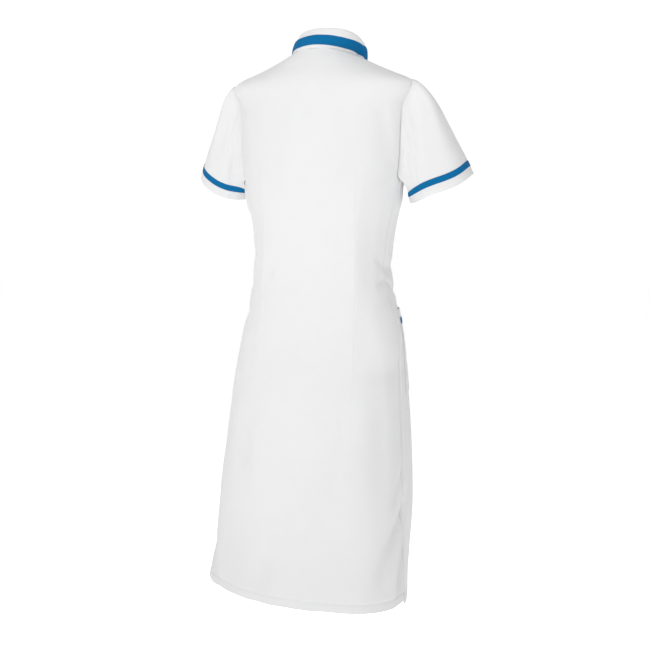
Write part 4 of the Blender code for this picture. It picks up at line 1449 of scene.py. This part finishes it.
def pocket_runs(side):
    """White stitches round a pocket, and the blue ones that hold its band."""
    near = POCKET_STITCH_INSET / POCKET_WIDTH
    bottom = POCKET_HEIGHT - POCKET_STITCH_INSET
    down = np.linspace(POCKET_STITCH_TOP, bottom, POCKET_SIDE_POINTS)
    low = np.linspace(near, 1.0 - near, POCKET_LOW_POINTS)
    across = np.concatenate([np.full(len(down), near), low, np.full(len(down), 1.0 - near)])
    drop = np.concatenate([down, np.full(len(low), bottom), down[::-1]])
    white = [pocket_run(side, across, drop, CLOTH / 2)]
    across = np.linspace(*POCKET_BAND_SHARES, POCKET_BAND_POINTS)
    lift = CLOTH / 2 + BAND + POCKET_BAND_STITCH_LIFT
    insets = (POCKET_BAND_STITCH_INSET, BAND_WIDTH - POCKET_BAND_STITCH_INSET)
    return white, [pocket_run(side, across, HEM_MARGIN + inset, lift) for inset in insets]


def grid_run(grid, distances, lift, closed=False):
    """Stitches along a made piece's grid, at distances down its columns."""
    travelled = down_columns(grid)
    points = rows_at(grid, travelled, distances[None, :])[0]
    outward = rows_at(grid_normals(grid, closed), travelled, distances[None, :])[0]
    if closed:
        points = np.concatenate([points, points[:1]])
        outward = np.concatenate([outward, outward[:1]])
    outward = unit(outward)
    return run_of(points + outward * lift, outward)


def band_runs(grid, width, inset, closed=False):
    """Stitches along both edges of a band."""
    insets = (inset, width - inset)
    return [grid_run(grid, np.full(grid.shape[1], place), BAND / 2, closed) for place in insets]


class Looks:
    """The nodes of a material or of the world, with short ways to add them."""

    def __init__(self, tree):
        self.nodes = tree.nodes
        self.links = tree.links
        self.places = tree.nodes.new("ShaderNodeTexCoord").outputs

    def feed(self, node, inputs, output):
        """Gives a node its inputs, each a fixed value or another node's output, and returns one output."""
        for name, value in inputs.items():
            if isinstance(value, bpy.types.NodeSocket):
                self.links.new(value, node.inputs[name])
            else:
                node.inputs[name].default_value = value
        return node.outputs[output]

    def noise(self, vector, scale, detail, roughness=0.5):
        inputs = {"Vector": vector, "Scale": scale, "Detail": detail, "Roughness": roughness}
        return self.feed(self.nodes.new("ShaderNodeTexNoise"), inputs, "Fac")

    def wave(self, vector, direction, period, distortion):
        """Lines with a period in metres."""
        node = self.nodes.new("ShaderNodeTexWave")
        node.wave_type = "BANDS"
        node.bands_direction = direction
        scale = FULL_TURN / (20.0 * period)
        inputs = {"Vector": vector, "Scale": scale, "Distortion": distortion, "Detail": 1.0}
        return self.feed(node, inputs, "Fac")

    def mapped(self, value, low, high):
        node = self.nodes.new("ShaderNodeMapRange")
        return self.feed(node, {"Value": value, "To Min": low, "To Max": high}, "Result")

    def eased(self, value, start, end):
        node = self.nodes.new("ShaderNodeMapRange")
        node.interpolation_type = "SMOOTHSTEP"
        return self.feed(node, {"Value": value, "From Min": start, "From Max": end}, "Result")

    def added(self, first, second, share):
        """First plus a share of the second."""
        node = self.nodes.new("ShaderNodeMath")
        node.operation = "MULTIPLY_ADD"
        return self.feed(node, {0: second, 1: share, 2: first}, "Value")

    def mixed(self, factor, first, second):
        node = self.nodes.new("ShaderNodeMix")
        node.data_type = "RGBA"
        return self.feed(node, {"Factor": factor, "A": first, "B": second}, "Result")

    def bumped(self, height, strength, distance):
        inputs = {"Height": height, "Strength": strength, "Distance": distance}
        return self.feed(self.nodes.new("ShaderNodeBump"), inputs, "Normal")

    def shade(self, inputs):
        """Sets a material's own shader."""
        self.feed(self.nodes["Principled BSDF"], inputs, "BSDF")


def new_material(name):
    made = bpy.data.materials.new(name)
    made.use_nodes = True
    return made, Looks(made.node_tree)


def cloth_material(name, dark, light, weave, roughness, sheen):
    """Woven cloth: fine weave and fuzz as bump, slight changes of colour and of roughness."""
    made, looks = new_material(name)
    cloth = looks.places["UV"]
    solid = looks.places["Object"]
    lines = looks.wave(cloth, weave.direction, weave.period, distortion=0.6)
    cross = looks.wave(cloth, weave.cross, weave.cross_period, distortion=0.4)
    fuzz = looks.noise(cloth, scale=1900.0, detail=2.0)
    soft = looks.noise(solid, scale=46.0, detail=3.0, roughness=0.6)
    broad = looks.noise(solid, scale=7.0, detail=2.0)
    tone = looks.added(looks.added(soft, broad, 0.7), lines, 0.25)
    height = looks.added(looks.added(lines, cross, 0.45), fuzz, 0.5)
    looks.shade({
        "Base Color": looks.mixed(looks.mapped(tone, -0.25, 0.85), dark, light),
        "Roughness": looks.mapped(soft, roughness - 0.04, roughness + 0.05),
        "Normal": looks.bumped(height, strength=weave.strength, distance=0.00012),
        "Sheen Weight": sheen,
        "Sheen Roughness": 0.45,
        "Specular IOR Level": 0.15,
    })
    return made


def plastic_material():
    made, looks = new_material("button_looks")
    grain = looks.noise(looks.places["Object"], scale=260.0, detail=3.0)
    broad = looks.noise(looks.places["Object"], scale=60.0, detail=2.0)
    looks.shade({
        "Base Color": looks.mixed(broad, BUTTON_DARK, BUTTON_LIGHT),
        "Roughness": looks.mapped(grain, 0.26, 0.38),
        "Normal": looks.bumped(grain, strength=0.12, distance=0.00008),
        "Coat Weight": 0.15,
        "Coat Roughness": 0.18,
    })
    return made


def thread_material(name, colour, light):
    made, looks = new_material(name)
    twist = looks.noise(looks.places["Object"], scale=2600.0, detail=2.0)
    looks.shade({
        "Base Color": looks.mixed(twist, colour, light),
        "Roughness": 0.55,
        "Normal": looks.bumped(twist, strength=0.30, distance=0.00006),
        "Sheen Weight": 0.15,
    })
    return made


def floor_material():
    made, looks = new_material("studio_floor")
    patches = looks.noise(looks.places["Object"], scale=0.6, detail=2.0)
    looks.shade({
        "Base Color": looks.mixed(patches, FLOOR_DARK, FLOOR_LIGHT),
        "Roughness": 0.9,
        "Emission Color": (1.0, 1.0, 1.0, 1.0),
        "Emission Strength": FLOOR_GLOW,
    })
    return made


def make_floor():
    """A wide round floor below the hanging dress."""
    made = bmesh.new()
    bmesh.ops.create_circle(made, cap_ends=True, segments=FLOOR_SIDES, radius=FLOOR_RADIUS)
    mesh = mesh_from(made, "studio_floor")
    mesh.materials.append(floor_material())
    floor = placed("studio_floor", mesh)
    floor.location = (0.0, 0.0, FLOOR_Z)
    return floor


def make_world():
    """Surroundings that are bright round the horizon and on the wearer's right, and dim overhead."""
    world = bpy.data.worlds.new("studio")
    bpy.context.scene.world = world
    world.use_nodes = True
    looks = Looks(world.node_tree)
    around = looks.places["Generated"]
    height = looks.feed(looks.nodes.new("ShaderNodeSeparateXYZ"), {"Vector": around}, "Z")
    sky = looks.mixed(looks.eased(height, *OVERHEAD_EDGE), HORIZON, OVERHEAD)
    aside = looks.nodes.new("ShaderNodeVectorMath")
    aside.operation = "DOT_PRODUCT"
    aside = looks.feed(aside, {0: around, 1: SIDE_TOWARDS}, "Value")
    sky = looks.mixed(looks.eased(aside, *SIDE_EDGE), sky, HORIZON)
    looks.feed(looks.nodes["Background"], {"Color": sky, "Strength": 1.0}, "Background")


def make_light(name, light):
    made = bpy.data.lights.new(name, "AREA")
    made.shape = "SQUARE"
    made.size = light.size
    made.energy = light.power
    made.spread = math.radians(light.spread)
    lamp = placed(name, made)
    lamp.location = light.place
    lamp.rotation_euler = (Vector(light.aim) - Vector(light.place)).to_track_quat("-Z", "Y").to_euler()


def make_camera():
    """A camera at the photograph's place, with its aim, slight roll and lens."""
    away = Vector((math.sin(CAMERA_TURN), -math.cos(CAMERA_TURN), 0.0))
    level = Matrix.Rotation(CAMERA_AIM, 3, "Z") @ -away
    look = level * math.cos(CAMERA_PITCH) - Vector((0.0, 0.0, math.sin(CAMERA_PITCH)))
    right = look.cross(Vector((0.0, 0.0, 1.0))).normalized()
    up = right.cross(look)
    rolled = right * math.cos(CAMERA_ROLL) + up * math.sin(CAMERA_ROLL)
    upward = up * math.cos(CAMERA_ROLL) - right * math.sin(CAMERA_ROLL)
    lens = bpy.data.cameras.new("camera")
    lens.lens = CAMERA_LENS
    lens.sensor_width = SENSOR
    lens.sensor_fit = "HORIZONTAL"
    camera = placed("camera", lens)
    place = away * CAMERA_DISTANCE + Vector((0, 0, CAMERA_HEIGHT))
    turn = Matrix((rolled, upward, -look)).transposed()
    camera.matrix_world = Matrix.Translation(place) @ turn.to_4x4()
    bpy.context.scene.camera = camera


def settle(piece, node):
    """Lets a piece ride with the dress and stand for a solid, if it has one."""
    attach(piece, "root")
    if node:
        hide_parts(node)


def make_sheets(white, blue):
    """White and blue sheets by the names of their solids, and the lines of stitches in either colour."""
    rows = panel_rows()
    whites = {"back": make_panel("back", back_columns(rows[0]), rows, white)}
    blues = {}
    white_lines = white_runs()
    blue_lines = []
    for where, side in SIDES.items():
        front = "front_" + where
        whites[front] = make_panel(front, front_columns(side, rows[0]), rows, white)
        whites["sleeve_" + where], blues["sleeve_band_" + where], band = make_sleeve(where, white, blue)
        whites["pocket_" + where], blues["pocket_band_" + where] = make_pocket(where, white, blue)
        blue_lines.extend(band_runs(band, BAND_WIDTH, SLEEVE_BAND_STITCH_INSET, closed=True))
        white_more, blue_more = pocket_runs(side)
        white_lines.extend(white_more)
        blue_lines.extend(blue_more)
    angle = collar_angles()
    base = leaf_base(angle)
    whites["collar_leaf"], leaf = make_leaf(angle, base, white)
    whites["collar_stand"] = make_stand(angle, white)
    blues["collar_band"], band = make_collar_band(angle, base, blue)
    white_lines.append(grid_run(leaf, down_columns(leaf)[-1] - LEAF_STITCH_INSET, COLLAR_CLOTH / 2))
    blue_lines.extend(band_runs(band, COLLAR_BAND_WIDTH, COLLAR_BAND_STITCH_INSET))
    return whites, blues, white_lines, blue_lines


def make_dress():
    """Every piece of the dress."""
    white = cloth_material("white_twill", WHITE_DARK, WHITE_LIGHT, TWILL, roughness=0.86, sheen=0.22)
    blue = cloth_material("blue_ribbon", BLUE_DARK, BLUE_LIGHT, RIBS, roughness=0.84, sheen=0.02)
    white_thread = thread_material("white_thread", THREAD_WHITE, WHITE_LIGHT)
    blue_thread = thread_material("blue_thread", BLUE_DARK, BLUE_LIGHT)
    whites, blues, white_lines, blue_lines = make_sheets(white, blue)
    for name, piece in whites.items():
        settle(piece, name)
    for name, piece in blues.items():
        settle(piece, name)
    settle(make_thread("stitches_white", white_lines, white_thread), None)
    settle(make_thread("stitches_blue", blue_lines, blue_thread), None)
    for number, button in enumerate(make_buttons(plastic_material(), white_thread)):
        settle(button, "button_%d" % (number + 1))


make_camera()
make_world()
make_floor()
for light_name, light in LIGHTS.items():
    make_light(light_name, light)
bpy.context.scene.view_settings.view_transform = "Standard"
make_dress()
